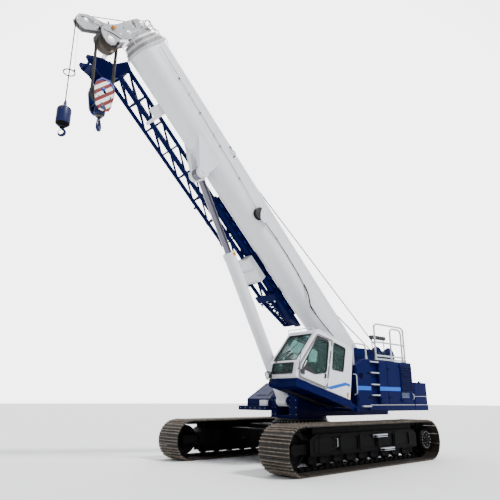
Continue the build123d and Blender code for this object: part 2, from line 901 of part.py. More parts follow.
def boom_base():
    with BuildPart() as piece:
        tube_piece(0)
        # casting round the foot pin
        solid_profile(boom_rear, foot_casting_front, boom_width, boom_height)
        with BuildSketch(boom_side(plate_inner - 5)):
            Circle(210)
        extrude(amount=2 * plate_inner - 10)
        with BuildSketch(boom_side(plate_inner)):
            Circle(foot_pin_radius + pin_gap)
        extrude(amount=2 * plate_inner, mode=Mode.SUBTRACT)
        add(lift_bracket())
        # round saddle on the right, with the arm that carries the stowed jib's inner chord
        disc(boom_cross(saddle_along), saddle_radius, saddle_length, (saddle_y, saddle_normal))
        rest = jib_low(saddle_along + saddle_arm_length) - chord_radius - running_gap
        plate(boom_cross(saddle_along), ((saddle_y, saddle_normal), (saddle_y - 165, saddle_normal),
                                         (jib_inner + 60, rest), (jib_inner - 60, rest),
                                         (jib_inner - 60, rest - shelf_thickness),
                                         (jib_inner + 140, rest - shelf_thickness), (saddle_y, rest + 90)),
              saddle_arm_length)
        solid_profile(saddle_along - 10, saddle_along + saddle_length + 10, boom_width - 2 * boom_wall,
                      boom_height - 2 * boom_wall, mode=Mode.SUBTRACT)
    write(piece, "boom_base")


def telescope():
    for index in range(1, section_count):
        with BuildPart() as piece:
            tube_piece(index)
        write(piece, f"boom_section_{index + 1}")


def boom_head():
    last = section_count - 1
    width = boom_width - last * section_step
    height = boom_height - last * section_step
    root = collar_front + last * collar_step
    with BuildPart() as piece:
        solid_profile(root, root + 40, width, height)
        for side in (-1, 1):
            start = head_plate_inner + head_plate_thickness if side > 0 else -head_plate_inner
            plate(boom_side(start),
                  ((root, height / 2 - 20), (head_front - 140, 300), (head_front - 20, 150), (head_front, -85),
                   (head_front + 15, -560), (head_front + 100, -885), (head_front + 60, -1010),
                   (head_front - 10, -1076), (head_sheave_along + 134, -1115), (head_sheave_along, -1120),
                   (head_sheave_along - 116, -1060), (head_sheave_along - 146, -960),
                   (head_sheave_along - 91, -815), (head_sheave_along - 131, -573), (root, -height / 2 - 40)),
                  head_plate_thickness)
        # webs between the plates, ahead of and behind the sheaves
        for along, low, high in ((head_front - 30, -860, -200), (root + 40, -640, -320)):
            with BuildSketch(boom_side(head_plate_inner)):
                with Locations((along + 15, (low + high) / 2)):
                    Rectangle(30, high - low)
            extrude(amount=2 * head_plate_inner)
    write(piece, "boom_head")


def head_sheaves():
    with BuildPart() as piece:
        centre = (head_sheave_along, head_sheave_normal)
        for index in (-1, 0, 1):
            y = index * sheave_pitch + sheave_width / 2
            disc(boom_side(y), sheave_radius, sheave_width, centre)
        disc(boom_side(head_plate_inner), 50, 2 * head_plate_inner, centre)
        top = (top_sheave_along, top_sheave_normal)
        disc(boom_side(30), top_sheave_radius, 60, top)
        disc(boom_side(head_plate_inner), 35, 2 * head_plate_inner, top)
    write(piece, "head_sheaves")


def rooster():
    with BuildPart() as piece:
        root = head_front + 0.3
        for side in (-1, 1):
            outer = rooster_plate_inner + rooster_plate_thickness
            plate(boom_side(outer if side > 0 else -rooster_plate_inner),
                  ((root, -500), (root + 40, -500), (root + 200, -740), (rooster_along + 110, -1030),
                   (rooster_along + 185, -1230), (rooster_along + 145, -1370), (rooster_along + 20, -1420),
                   (rooster_along - 170, -1350), (root + 50, -1000), (root, -860)), rooster_plate_thickness)
        plate(boom_side(head_plate_inner), ((root, -860), (root + 30, -860), (root + 30, -500), (root, -500)),
              2 * head_plate_inner)
        disc(boom_side(rooster_plate_inner), 40, 2 * rooster_plate_inner, (rooster_along, rooster_normal))
        disc(boom_side(rooster_width / 2), rooster_radius, rooster_width, (rooster_along, rooster_normal))
    write(piece, "rooster")


def strut(start, end, radius):
    # a six-sided brace between two points
    with BuildSketch(Plane(origin=start, z_dir=end - start)) as outline:
        RegularPolygon(radius, 6)
    extrude(outline.sketch, amount=(end - start).length, dir=end - start)


def jib_lattice():
    plane = boom_cross(0)

    def corner(index, share):
        # corners in order round the section; share runs from the rear end to the front end
        outer = jib_outer_rear + share * (jib_outer - jib_outer_rear)
        along = jib_rear + share * (jib_front - jib_rear)
        low = jib_low(along)
        y, normal = ((jib_inner, jib_top), (outer, jib_top), (outer, low), (jib_inner, low))[index]
        return plane.from_local_coords(Vector(y, normal, along))

    with BuildPart() as piece:
        for index in range(4):
            start, end = corner(index, 0), corner(index, 1)
            with BuildSketch(Plane(origin=start, z_dir=end - start)) as chord:
                Circle(chord_radius)
            extrude(chord.sketch, amount=(end - start).length, dir=end - start)
        # square struts and diagonals that fall towards the rear, in each face
        for near, far in ((0, 1), (1, 2), (3, 2), (0, 3)):
            for index in range(jib_panels + 1):
                share = index / jib_panels
                strut(corner(near, share), corner(far, share), brace_radius)
                if index > 0:
                    strut(corner(near, share), corner(far, share - 1 / jib_panels), brace_radius)
        # wide base end: two plates with their pin arms and cross tubes
        for y in (jib_inner + fork_thickness_jib / 2, jib_outer + fork_thickness_jib / 2):
            plate(boom_side(y), ((jib_front - 40, jib_top + 50), (jib_front + 230, jib_top + 130),
                                 (jib_front + 300, jib_top - 330), (jib_front + 560, -760),
                                 (jib_front + 760, -1090), (jib_front + 730, -1150), (jib_front + 610, -1175),
                                 (jib_front + 380, -1090), (jib_front + 60, -1110), (jib_front - 30, -900),
                                 (jib_front - 40, jib_bottom - 60)), fork_thickness_jib)
        for along, normal in ((150, -150), (120, -980), (600, -1080), (380, -600)):
            disc(boom_side(jib_inner), 36, jib_inner - jib_outer, (jib_front + along, normal))
    write(piece, "jib_lattice")


def jib_box():
    with BuildPart() as piece:
        with BuildSketch(boom_cross(box_rear)):
            with Locations((box_inner - box_side / 2, box_top - box_side / 2)):
                RectangleRounded(box_side, box_side, 20)
        extrude(amount=box_front - box_rear)
        # brackets that hold both jibs against the boom's side
        side_y = -boom_width / 2
        for along, length in ((3500, 220), (4650, 560)):
            shelf_top = jib_low(along + length / 2) - chord_radius - running_gap
            with BuildSketch(boom_cross(along - length / 2)):
                with Locations((side_y - 15, (shelf_top - shelf_thickness + 120) / 2)):
                    Rectangle(30, 120 - shelf_top + shelf_thickness)
                with Locations(((side_y + jib_outer) / 2 - 20, shelf_top - shelf_thickness / 2)):
                    Rectangle(side_y - jib_outer + 40, shelf_thickness)
                with Locations((box_inner - box_side / 2, (box_top - box_side + shelf_top) / 2)):
                    Rectangle(box_side, box_top - box_side - shelf_top)
            extrude(amount=length)
    write(piece, "jib_box")


def boom_fittings():
    with BuildPart() as piece:
        for start, radius, depth in ((120, 170, 25), (95, 110, 70), (25, 170, 25)):
            disc(boom_side(boom_width / 2 + start), radius, depth, (reel_along, reel_normal))
        # rope guides on the boom's back
        for along in (3100, 5800, 7400, 8540, 9900):
            with BuildSketch(boom_cross(along)):
                with Locations((0, boom_height / 2 + 75)):
                    Rectangle(260, 150)
                    Rectangle(200, 90, mode=Mode.SUBTRACT)
            extrude(amount=40)
    write(piece, "boom_fittings")


# Lift cylinder

def lift_cross(distance):
    a = radians(lift_angle)
    return cross_plane(lift_foot_x + distance * cos(a), lift_foot_z + distance * sin(a), lift_angle)


def lift_side(y):
    return side_plane(lift_foot_x, lift_foot_z, y, lift_angle)


def lift_barrel():
    with BuildPart() as piece:
        disc(lift_cross(100), barrel_radius, barrel_length - 100)
        disc(lift_cross(barrel_length - gland_length), barrel_radius + 12, gland_length)
        disc(lift_side(foot_eye_half), eye_radius, 2 * foot_eye_half)
        disc(lift_cross(180), barrel_bore, barrel_length - gland_length - 180, mode=Mode.SUBTRACT)
        disc(lift_cross(180), rod_radius + running_gap, barrel_length, mode=Mode.SUBTRACT)
    write(piece, "lift_barrel")


def lift_rod():
    with BuildPart() as piece:
        disc(lift_cross(lift_length - rod_length), rod_radius, rod_length)
        disc(lift_cross(lift_length - rod_length), barrel_bore - running_gap, piston_length)
        disc(lift_side(rod_eye_half), eye_radius, 2 * rod_eye_half, (lift_length, 0))
        disc(lift_side(rod_eye_half), lift_pin_radius + pin_gap, 2 * rod_eye_half, (lift_length, 0),
             mode=Mode.SUBTRACT)
    write(piece, "lift_rod")


# Hooks

def hook_bar(x, bottom, radius, bar, turn, shank_top):
    # a round bar bent to an open bowl under its shank
    a = radians(turn)
    centre_z = bottom + radius + bar
    plane = Plane(origin=(slew_x + x, 0, centre_z), x_dir=(cos(a), sin(a), 0), z_dir=(sin(a), -cos(a), 0))
    with BuildLine(plane) as path:
        CenterArc((0, 0), radius, 90, 285)
    with BuildSketch(Plane(origin=path.line @ 0, z_dir=path.line % 0)) as section:
        Circle(bar)
    sweep(section.sketch, path=path.line)
    shank_bottom = centre_z + radius - bar * 0.6
    disc(level_plane(shank_bottom), bar * 1.15, shank_top - shank_bottom, (x, 0))


def falls():
    length = head_sheave_z - block_sheave_z
    offset_x = sheave_radius + rope_radius + rope_gap
    with BuildPart() as piece:
        with BuildSketch(level_plane(block_sheave_z)):
            with Locations((head_sheave_x, 0)):
                with GridLocations(2 * offset_x, sheave_pitch, 2, 3):
                    Circle(rope_radius)
        extrude(amount=length)
    write(piece, "main_falls")


def hook_block():
    with BuildPart() as piece:
        # side plates, widest at the sheave and narrow at the foot
        half = ((100, block_top), (215, block_top - 90), (252, block_top - 270), (185, block_low + 110),
                (95, block_low))
        outline = [(x, z) for x, z in half] + [(-x, z) for x, z in reversed(half)]
        for start in (block_plate_inner + block_plate_thickness, -block_plate_inner):
            plate(side_plane(head_sheave_x, 0, start), outline, block_plate_thickness)
        # trunnion that carries the hook, under the sheaves
        trunnion = ((-150, block_bottom + 60), (-90, block_bottom), (90, block_bottom), (150, block_bottom + 60),
                    (150, block_bottom + 230), (-150, block_bottom + 230))
        plate(side_plane(head_sheave_x, 0, block_plate_inner), trunnion, 2 * block_plate_inner)
        for index in (-1, 0, 1):
            disc(side_plane(head_sheave_x, block_sheave_z, index * sheave_pitch + sheave_width / 2),
                 sheave_radius, sheave_width)
        disc(side_plane(head_sheave_x, block_sheave_z, block_plate_inner), 50, 2 * block_plate_inner)
        # tie bar between the plates' tops
        disc(side_plane(head_sheave_x, block_top - 30, block_plate_inner), 18, 2 * block_plate_inner)
    write(piece, "hook_block")


def main_hook():
    with BuildPart() as piece:
        hook_bar(head_sheave_x, main_hook_bottom, main_hook_radius, main_hook_bar, main_hook_turn, block_bottom)
    write(piece, "main_hook")


def whip_rope():
    with BuildPart() as piece:
        disc(level_plane(weight_top), whip_radius, rooster_z - weight_top, (whip_x, 0))
    write(piece, "whip_rope")


def aux_weight():
    axis = Axis((slew_x + whip_x, 0, 0), (0, 0, 1))
    with BuildPart() as piece:
        with BuildSketch(side_plane(whip_x, 0, 0)):
            with BuildLine():
                Polyline((0, weight_bottom), (80, weight_bottom), (weight_radius, weight_bottom + 90),
                         (weight_radius, weight_top - 40), (weight_radius - 40, weight_top), (0, weight_top),
                         close=True)
            make_face()
        revolve(axis=axis)
        hook_bar(whip_x, aux_hook_bottom, aux_hook_radius, aux_hook_bar, aux_hook_turn, weight_bottom)
    write(piece, "aux_weight")


for side_name, side_sign in (("left", 1), ("right", -1)):
    track(f"track_{side_name}", side_sign * wheel_y)
    track_frame(f"track_frame_{side_name}", side_sign * wheel_y, side_sign)
    wheels(f"wheels_{side_name}", side_sign * wheel_y)
    sprocket(f"sprocket_{side_name}", side_sign * wheel_y, side_sign)
car_body()
slew_ring()
upper_frame()
house_left()
house_right()
engine()
hood()
counterweight()
front_box()
grille_and_steps()
guard_rails()
winch("winch_main", -3350)
winch("winch_aux", -4040)
cab_shell()
cab_glass()
cab_door()
cab_platform()
cab_interior()
boom_base()
telescope()
boom_head()
head_sheaves()
rooster()
jib_lattice()
jib_box()
boom_fittings()
lift_barrel()
lift_rod()
falls()
hook_block()
main_hook()
whip_rope()
aux_weight()
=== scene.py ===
import json
import math

import bmesh
import bpy
from mathutils import Matrix, Vector


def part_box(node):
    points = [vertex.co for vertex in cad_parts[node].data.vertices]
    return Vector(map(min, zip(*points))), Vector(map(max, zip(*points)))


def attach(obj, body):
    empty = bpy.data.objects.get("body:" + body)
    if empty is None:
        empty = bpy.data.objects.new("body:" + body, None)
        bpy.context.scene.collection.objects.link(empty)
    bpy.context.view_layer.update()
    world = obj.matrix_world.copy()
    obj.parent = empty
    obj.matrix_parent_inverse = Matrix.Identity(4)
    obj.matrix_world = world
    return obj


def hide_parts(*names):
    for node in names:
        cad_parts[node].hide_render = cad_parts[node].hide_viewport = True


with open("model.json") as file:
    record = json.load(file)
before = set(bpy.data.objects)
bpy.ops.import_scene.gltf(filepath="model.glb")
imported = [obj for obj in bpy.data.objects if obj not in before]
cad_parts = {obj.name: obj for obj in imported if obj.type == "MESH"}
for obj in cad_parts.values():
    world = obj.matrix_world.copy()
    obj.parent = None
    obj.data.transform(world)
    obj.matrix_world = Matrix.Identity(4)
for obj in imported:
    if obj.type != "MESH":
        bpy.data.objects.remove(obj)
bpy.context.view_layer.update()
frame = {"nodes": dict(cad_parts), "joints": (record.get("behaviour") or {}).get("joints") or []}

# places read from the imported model: slewing axis, boom foot and direction, tipped cab
jointTable = {joint["name"]: joint for joint in frame["joints"]}
slewX = jointTable["slew"]["pos_m"][0]
boomFoot = Vector(jointTable["boom_luff"]["pos_m"])
boomAhead = Vector(jointTable["telescope"]["axis"]).normalized()
boomUp = Vector((-boomAhead.z, 0, boomAhead.x))
cabPivot = Vector(jointTable["cab_tilt"]["pos_m"])
cabUp = Vector(jointTable["cab_door"]["axis"]).normalized()
cabAhead = Vector((cabUp.z, 0, -cabUp.x))
headPin = Vector(jointTable["main_block_swing"]["pos_m"])
rodPin = Vector(jointTable["lift_rod_pivot"]["pos_m"])
liftAhead = Vector(jointTable["lift_stroke"]["axis"]).normalized()
liftUp = Vector((-liftAhead.z, 0, liftAhead.x))


def onMachine(x, y, z):
    return Vector((slewX + x, y, z))


def onBoom(along, y, rise):
    return boomFoot + along * boomAhead + rise * boomUp + Vector((0, y, 0))


def onCab(ahead, y, rise):
    return Vector((cabPivot.x, 0, cabPivot.z)) + ahead * cabAhead + rise * cabUp + Vector((0, y, 0))


def onLift(back, y, rise):
    # measured back from the rod's eye toward the cylinder's foot
    return rodPin - back * liftAhead + rise * liftUp + Vector((0, y, 0))


# Mesh helpers. A piece grows in the bench's mesh; every face takes the number of its material in makePiece.

bench = {"mesh": bmesh.new()}
left, up = Vector((0, 1, 0)), Vector((0, 0, 1))
steelBend = math.radians(40)   # edges sharper than this get a bevel


def points(place, *spots):
    return [place(*spot) for spot in spots]


def addFace(corners, material=0):
    bench["mesh"].faces.new(corners).material_index = material


def skin(rings, material=0, closed=False):
    # walls from ring to ring; the two ends are capped, or joined where it is closed
    rings = [[bench["mesh"].verts.new(point) for point in ring] for ring in rings]
    for near, far in zip(rings, rings[1:] + rings[:1] if closed else rings[1:]):
        for k in range(len(near)):
            j = (k + 1) % len(near)
            addFace((near[k], near[j], far[j], far[k]), material)
    if not closed:
        addFace(rings[0][::-1], material)
        addFace(rings[-1], material)


def prism(place, outline, yLow, yHigh, material=0):
    yLow, yHigh = sorted((yLow, yHigh))
    skin([[place(a, y, b) for a, b in outline] for y in (yHigh, yLow)], material)


def slab(place, aSpan, ySpan, bSpan, material=0):
    (a0, a1), (b0, b1) = aSpan, bSpan
    prism(place, ((a0, b0), (a1, b0), (a1, b1), (a0, b1)), *ySpan, material)


def circle(centre, side, other, radius, segments, start=0.0):
    turns = [start + 2 * math.pi * k / segments for k in range(segments)]
    return [centre + radius * (math.cos(a) * side + math.sin(a) * other) for a in turns]


def lathe(start, axis, profile, segments=24, material=0, closed=False):
    # profile: distance along the axis and radius, turned round the axis from start
    axis = axis.normalized()
    side = axis.orthogonal().normalized()
    skin([circle(start + axis * distance, side, axis.cross(side), radius, segments) for distance, radius in profile],
         material, closed)


def rod(start, end, radius, segments=12, material=0):
    lathe(start, end - start, ((0, radius), ((end - start).length, radius)), segments, material)


def hexHead(start, axis, radius, height, material=0):
    lathe(start, axis, ((0, radius), (height * 0.8, radius), (height, radius * 0.85)), 6, material)


def boltRing(centre, axis, radius, count, headRadius, height, material=0, start=0.0):
    axis = axis.normalized()
    side = axis.orthogonal().normalized()
    for spot in circle(centre, side, axis.cross(side), radius, count, start):
        hexHead(spot, axis, headRadius, height, material)


def rounded(before, corner, after, reach, steps):
    # a soft curve in place of a corner
    before, corner, after = Vector(before), Vector(corner), Vector(after)
    reach = min(reach, (before - corner).length * 0.45, (after - corner).length * 0.45)
    start, end = (corner + (far - corner).normalized() * reach for far in (before, after))
    shares = [k / steps for k in range(steps + 1)]
    return [start * (1 - t) ** 2 + corner * 2 * t * (1 - t) + end * t ** 2 for t in shares]


def bendPath(path, bend, steps=5):
    if bend <= 0:
        return [Vector(point) for point in path]
    bends = [rounded(*corner, bend, steps) for corner in zip(path, path[1:], path[2:])]
    return [Vector(path[0]), *sum(bends, []), Vector(path[-1])]


def roundedPolygon(corners, radius, steps=4):
    count = len(corners)
    return [tuple(spot) for i in range(count)
            for spot in rounded(corners[i - 1], corners[i], corners[(i + 1) % count], radius, steps)]


def roundedOutline(width, height, radius, steps=4, centre=(0, 0)):
    outline = []
    for cx, cy, start in ((1, 1, 0), (-1, 1, 90), (-1, -1, 180), (1, -1, 270)):
        for k in range(steps + 1):
            a = math.radians(start + 90 * k / steps)
            outline.append((centre[0] + cx * (width / 2 - radius) + radius * math.cos(a),
                            centre[1] + cy * (height / 2 - radius) + radius * math.sin(a)))
    return outline


def tube(path, radiusAt, segments, material=0, flat=1.0, across=None):
    # radiusAt: radius at a point of the path and an angle round it; across keeps a flattened section upright
    rings, side = [], None
    for i, point in enumerate(path):
        ahead = (path[min(i + 1, len(path) - 1)] - path[max(i - 1, 0)]).normalized()
        toward = across or side
        side = (toward - ahead * toward.dot(ahead) if toward else ahead.orthogonal()).normalized()
        other, turns = ahead.cross(side), [2 * math.pi * k / segments for k in range(segments)]
        rings.append([point + radiusAt(i, a) * (flat * math.cos(a) * side + math.sin(a) * other) for a in turns])
    skin(rings, material)


def pipe(path, radius, bend=0.0, segments=10, material=0, steps=5):
    tube(bendPath(path, bend, steps), lambda i, a: radius, segments, material)


def frameStrip(place, outer, inner, yLow, yHigh, material=0):
    # a flat ring between two outlines with the same number of points
    yLow, yHigh = sorted((yLow, yHigh))
    skin([[place(a, y, b) for a, b in outline]
          for outline, y in ((outer, yLow), (outer, yHigh), (inner, yHigh), (inner, yLow))], material, True)


def takeMesh(name):
    # closes the piece in hand and starts the next one
    bmesh.ops.recalc_face_normals(bench["mesh"], faces=bench["mesh"].faces)
    data = bpy.data.meshes.new(name)
    bench["mesh"].to_mesh(data)
    bench["mesh"].free()
    bench["mesh"] = bmesh.new()
    return data


def addObject(name, data):
    item = bpy.data.objects.new(name, data)
    bpy.context.scene.collection.objects.link(item)
    return item


def finishPiece(name, data, body, slotName, replaced=(), smooth=35):
    data.shade_smooth()
    data.set_sharp_from_angle(angle=math.radians(smooth))
    piece = addObject(name, data)
    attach(piece, body)
    if replaced:
        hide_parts(*replaced)
    return piece


def makePiece(name, materials, body, replaced=(), bevel=0.0, smooth=35, slotName=None):
    # the first material covers most of the piece; the slot named from it is passed on, but nothing keeps it
    data = takeMesh(name)
    for material in materials:
        data.materials.append(material)
    piece = finishPiece(name, data, body, slotName or slotOf[materials[0]], replaced, smooth)
    if bevel > 0:
        edge = piece.modifiers.new("edges", "BEVEL")
        edge.width, edge.segments = bevel, 2
        edge.limit_method, edge.angle_limit = "ANGLE", steelBend
        edge.harden_normals = True
    return piece


# Node helpers

def setInputs(tree, node, inputs):
    # an input takes a number or colour, or the node or socket that feeds it
    for key, value in inputs.items():
        if isinstance(value, bpy.types.Node):
            value = next(socket for socket in value.outputs if socket.enabled)
        if isinstance(value, bpy.types.NodeSocket):
            tree.links.new(value, node.inputs[key])
        else:
            node.inputs[key].default_value = value


def addNode(tree, kind, inputs=None, **settings):
    node = tree.nodes.new(kind)
    for key, value in settings.items():
        setattr(node, key, value)
    setInputs(tree, node, inputs or {})
    return node


def linear(hexColour):
    channels = [int(hexColour[i:i + 2], 16) / 255 for i in (1, 3, 5)]
    return tuple(c / 12.92 if c <= 0.04045 else ((c + 0.055) / 1.055) ** 2.4 for c in channels) + (1.0,)


def perMetre(millimetres):
    # a texture's scale for a feature of that real size
    return 1000.0 / millimetres


def startMaterial(name):
    material = bpy.data.materials.new(name)
    material.use_nodes = True
    tree = material.node_tree
    return material, tree, tree.nodes["Principled BSDF"], addNode(tree, "ShaderNodeTexCoord").outputs["Object"]


# names of the nodes used most
noise, spread, blend, relief = "ShaderNodeTexNoise", "ShaderNodeMapRange", "ShaderNodeMix", "ShaderNodeBump"

paintLook = {
    "orangePeelMm": 6,        # ripple of sprayed paint
    "patchMm": 1400,          # broad fading
    "streakMm": 90,           # width of rain streaks
    "streakStretch": 0.06,    # streaks run down, so height counts little
    "dustMm": 35,
}


def paintedSteel(name, colour, grimeColour, grime=0.35, roughness=0.3, coat=0.35, fade=0.08, ior=1.5):
    # sprayed two-pack paint on steel plate: an even glossy skin with soft ripple, rain streaks and a dull film of dust
    material, tree, shader, place = startMaterial(name)
    look = {key: perMetre(size) if key.endswith("Mm") else size for key, size in paintLook.items()}
    broad = addNode(tree, noise, {"Vector": place, "Scale": look["patchMm"], "Detail": 4.0})
    fall = addNode(tree, "ShaderNodeMapping", {"Vector": place, "Scale": (1, 1, look["streakStretch"])})
    streak = addNode(tree, noise, {"Vector": fall, "Scale": look["streakMm"], "Detail": 5.0, "Roughness": 0.65})
    dust = addNode(tree, noise, {"Vector": place, "Scale": look["dustMm"], "Detail": 6.0, "Roughness": 0.7})
    film = addNode(tree, "ShaderNodeMath", {0: streak, 1: broad}, operation="MULTIPLY")
    dirty = addNode(tree, spread, {"Value": film, "From Min": 0.2, "From Max": 0.42, "To Min": 0.0, "To Max": grime})
    faded = addNode(tree, spread, {"Value": broad, "From Min": 0.3, "From Max": 0.7,
                                   "To Min": 1 - fade, "To Max": 1 + fade})
    tone = addNode(tree, "ShaderNodeHueSaturation", {"Color": linear(colour), "Value": faded})
    mixed = addNode(tree, blend, {0: dirty, 6: tone, 7: linear(grimeColour)}, data_type="RGBA")
    rough = addNode(tree, spread, {"Value": dust, "From Min": 0.35, "From Max": 0.65,
                                   "To Min": roughness - 0.06, "To Max": roughness + 0.12})
    peel = addNode(tree, noise, {"Vector": place, "Scale": look["orangePeelMm"]})
    ripple = addNode(tree, relief, {"Height": peel, "Strength": 0.05, "Distance": 0.001})
    setInputs(tree, shader, {"Base Color": mixed, "Roughness": rough, "Normal": ripple, "Coat Weight": coat,
                             "Coat Roughness": 0.12, "IOR": ior})
    return material


# dull and low in IOR where the photographed paint shows no sky
whitePaint = paintedSteel("whiteTwoPackPaint", "#dfe1e6", "#a7a49c", 0.16, 0.30, 0.45, 0.03)
# grey white of the boom's head, rooster and two collars: its dark tone is painted shade, the streaks on it grime
weatheredAndShadedWhite = paintedSteel("weatheredAndShadedWhitePaint", "#87888c", "#4a453f", 0.5, 0.45, 0.04, 0.12)
navyPaint = paintedSteel("navyTwoPackPaint", "#020b3e", "#0a1132", 0.2, 0.42, 0.02, 0.1, 1.11)
skyPaint = paintedSteel("skyBluePaint", "#0b57bd", "#2f5f9c", 0.15, 0.36, 0.05, 0.08, 1.25)
greyPaint = paintedSteel("lightGreyPaint", "#b4b9c2", "#8b8880", 0.22, 0.4, 0.2, 0.06)
blackPaint = paintedSteel("blackChassisPaint", "#050506", "#100e0c", 0.3, 0.5, 0.0, 0.3, 1.14)
# louvre panels darker than the housing's navy: partly painted shade between the blades
grilleNavyWithPaintedShade = paintedSteel("grillePaintDarkenedForShade", "#04081d", "#0b0d16", 0.3, 0.5, 0.0, 0.1, 1.1)
ventGrey = paintedSteel("dustyVentPaint", "#56617c", "#39404f", 0.4, 0.5, 0.0, 0.1, 1.2)
collarSteel = paintedSteel("weatheredCollarPaint", "#6f675c", "#3b342d", 0.5, 0.5, 0.1, 0.15)
paintedShadeGrey = paintedSteel("shadedRecessPaint", "#7d7a75", "#4d4842", 0.4, 0.5, 0.0, 0.15)
hookNavy = paintedSteel("darkForgedHookPaint", "#101a46", "#1d2032", 0.35, 0.42, 0.05, 0.2, 1.3)
sideBlue = paintedSteel("brightBlockBlue", "#0c2f8e", "#1c3568", 0.25, 0.36, 0.1, 0.1, 1.35)


def trackSteel(name, hollow, rubbed, rusty):
    # cast manganese steel shoes, pitted, rubbed and rust-brown where they meet the ground; the plates' far darker
    # tones between the bars are largely painted shade of those hollows
    material, tree, shader, place = startMaterial(name)
    wear = addNode(tree, noise, {"Vector": place, "Scale": perMetre(60), "Detail": 8.0, "Roughness": 0.7})
    patch = addNode(tree, noise, {"Vector": place, "Scale": perMetre(420), "Detail": 3.0})
    ramp = addNode(tree, "ShaderNodeValToRGB", {"Fac": wear})
    for stop, position, colour in zip(ramp.color_ramp.elements, (0.32, 0.68), (hollow, rubbed)):
        stop.position, stop.color = position, linear(colour)
    rust = addNode(tree, spread, {"Value": patch, "From Min": 0.42, "From Max": 0.68, "To Min": 0.0, "To Max": 0.55})
    mixed = addNode(tree, blend, {0: rust, 6: ramp, 7: linear(rusty)}, data_type="RGBA")
    pits = addNode(tree, relief, {"Height": wear, "Strength": 0.35, "Distance": 0.004})
    setInputs(tree, shader, {"Base Color": mixed, "Normal": pits, "Metallic": 0.35, "Roughness": 0.62})
    return material


def machinedSteel(name, colour, dirtColour, roughness, metallic=0.9, grainMm=3, dirt=0.3):
    # turned or drawn steel: fine grain, oily film that holds dust
    material, tree, shader, place = startMaterial(name)
    film = addNode(tree, noise, {"Vector": place, "Scale": perMetre(160), "Detail": 6.0, "Roughness": 0.6})
    amount = addNode(tree, spread, {"Value": film, "From Min": 0.4, "From Max": 0.7, "To Min": 0.0, "To Max": dirt})
    mixed = addNode(tree, blend, {0: amount, 6: linear(colour), 7: linear(dirtColour)}, data_type="RGBA")
    grain = addNode(tree, noise, {"Vector": place, "Scale": perMetre(grainMm), "Detail": 2.0})
    rough = addNode(tree, spread, {"Value": grain, "To Min": roughness * 0.8, "To Max": roughness * 1.25})
    fine = addNode(tree, relief, {"Height": grain, "Strength": 0.08, "Distance": 0.0006})
    setInputs(tree, shader, {"Base Color": mixed, "Roughness": rough, "Normal": fine, "Metallic": metallic})
    return material


sheaveSteel = machinedSteel("castSheaveIron", "#6e675f", "#3c352e", 0.5, 0.6, 5, 0.6)
chromeRod = machinedSteel("hardChromeRod", "#6d6c78", "#56525a", 0.24, 1.0, 2, 0.3)
ropeSteel = machinedSteel("greasedWireRope", "#3c3a37", "#1c1a18", 0.55, 0.6, 8, 0.6)
boltSteel = machinedSteel("zincPlatedBolts", "#a5a8aa", "#5a5550", 0.35, 0.9, 2, 0.3)
wornSteel = machinedSteel("bareWornSteel", "#8c8a86", "#4a4038", 0.42, 0.85, 4, 0.5)
ringSteel = machinedSteel("greasedBearingSteel", "#2b2826", "#121010", 0.5, 0.6, 5, 0.7)
brassLatch = machinedSteel("oliveBrassLatch", "#7d7443", "#3a3526", 0.45, 0.7, 4, 0.4)
# the plates' near-black tones are largely painted shade between the bars; the bars' lighter tones are ground wear
shoeSteelWithPaintedShade = trackSteel("shoePlateSteelWithPaintedShade", "#12100e", "#2e2923", "#2c221b")
barSteel = trackSteel("grouserSteel", "#4a443b", "#93887a", "#6a5747")


def rubber(name, colour, roughness=0.7, grainMm=4):
    # moulded black rubber or textured plastic: matt, faintly grained
    material, tree, shader, place = startMaterial(name)
    grain = addNode(tree, noise, {"Vector": place, "Scale": perMetre(grainMm), "Detail": 3.0})
    tone = addNode(tree, spread, {"Value": grain, "To Min": 0.8, "To Max": 1.25})
    mixed = addNode(tree, "ShaderNodeHueSaturation", {"Color": linear(colour), "Value": tone})
    grained = addNode(tree, relief, {"Height": grain, "Strength": 0.2, "Distance": 0.0008})
    setInputs(tree, shader, {"Base Color": mixed, "Normal": grained, "Roughness": roughness})
    return material


blackRubber = rubber("blackRubberSeal", "#141416")
blackPlastic = rubber("texturedBlackPlastic", "#1d1e21", 0.5)
beltWebbing = rubber("orangeBeltWebbing", "#a8531c", 0.75, 2)


def tintedGlass():
    # laminated cab glass with a green tint: clear, darker where thick, a little dust
    material, tree, shader, place = startMaterial("tintedSafetyGlass")
    haze = addNode(tree, noise, {"Vector": place, "Scale": perMetre(240), "Detail": 5.0})
    rough = addNode(tree, spread, {"Value": haze, "From Min": 0.35, "From Max": 0.75, "To Min": 0.01, "To Max": 0.07})
    setInputs(tree, shader, {"Roughness": rough, "Base Color": linear("#7d9c98"), "Transmission Weight": 0.9,
                             "IOR": 1.2})
    return material


def lens(name, colour, coat):
    # moulded lamp lens: coloured, glassy, fluted
    material, tree, shader, place = startMaterial(name)
    flute = addNode(tree, "ShaderNodeTexWave", {"Vector": place, "Scale": perMetre(12)}, bands_direction="Z")
    ridge = addNode(tree, relief, {"Height": flute.outputs["Fac"], "Strength": 0.3, "Distance": 0.001})
    setInputs(tree, shader, {"Normal": ridge, "Base Color": linear(colour), "Roughness": 0.12, "Coat Weight": coat})
    return material


def seatFabric():
    # coarse woven seat cloth, dark grey
    material, tree, shader, place = startMaterial("wovenSeatCloth")
    across, along = (addNode(tree, "ShaderNodeTexWave", {"Vector": place, "Scale": perMetre(9)}, bands_direction=way)
                     .outputs["Fac"] for way in "XZ")
    weave = addNode(tree, "ShaderNodeMath", {0: across, 1: along}, operation="MULTIPLY")
    tone = addNode(tree, blend, {0: weave, 6: linear("#1b1c20"), 7: linear("#3a3d44")}, data_type="RGBA")
    cloth = addNode(tree, relief, {"Height": weave, "Strength": 0.4, "Distance": 0.001})
    setInputs(tree, shader, {"Base Color": tone, "Normal": cloth, "Roughness": 0.9, "Sheen Weight": 0.3})
    return material


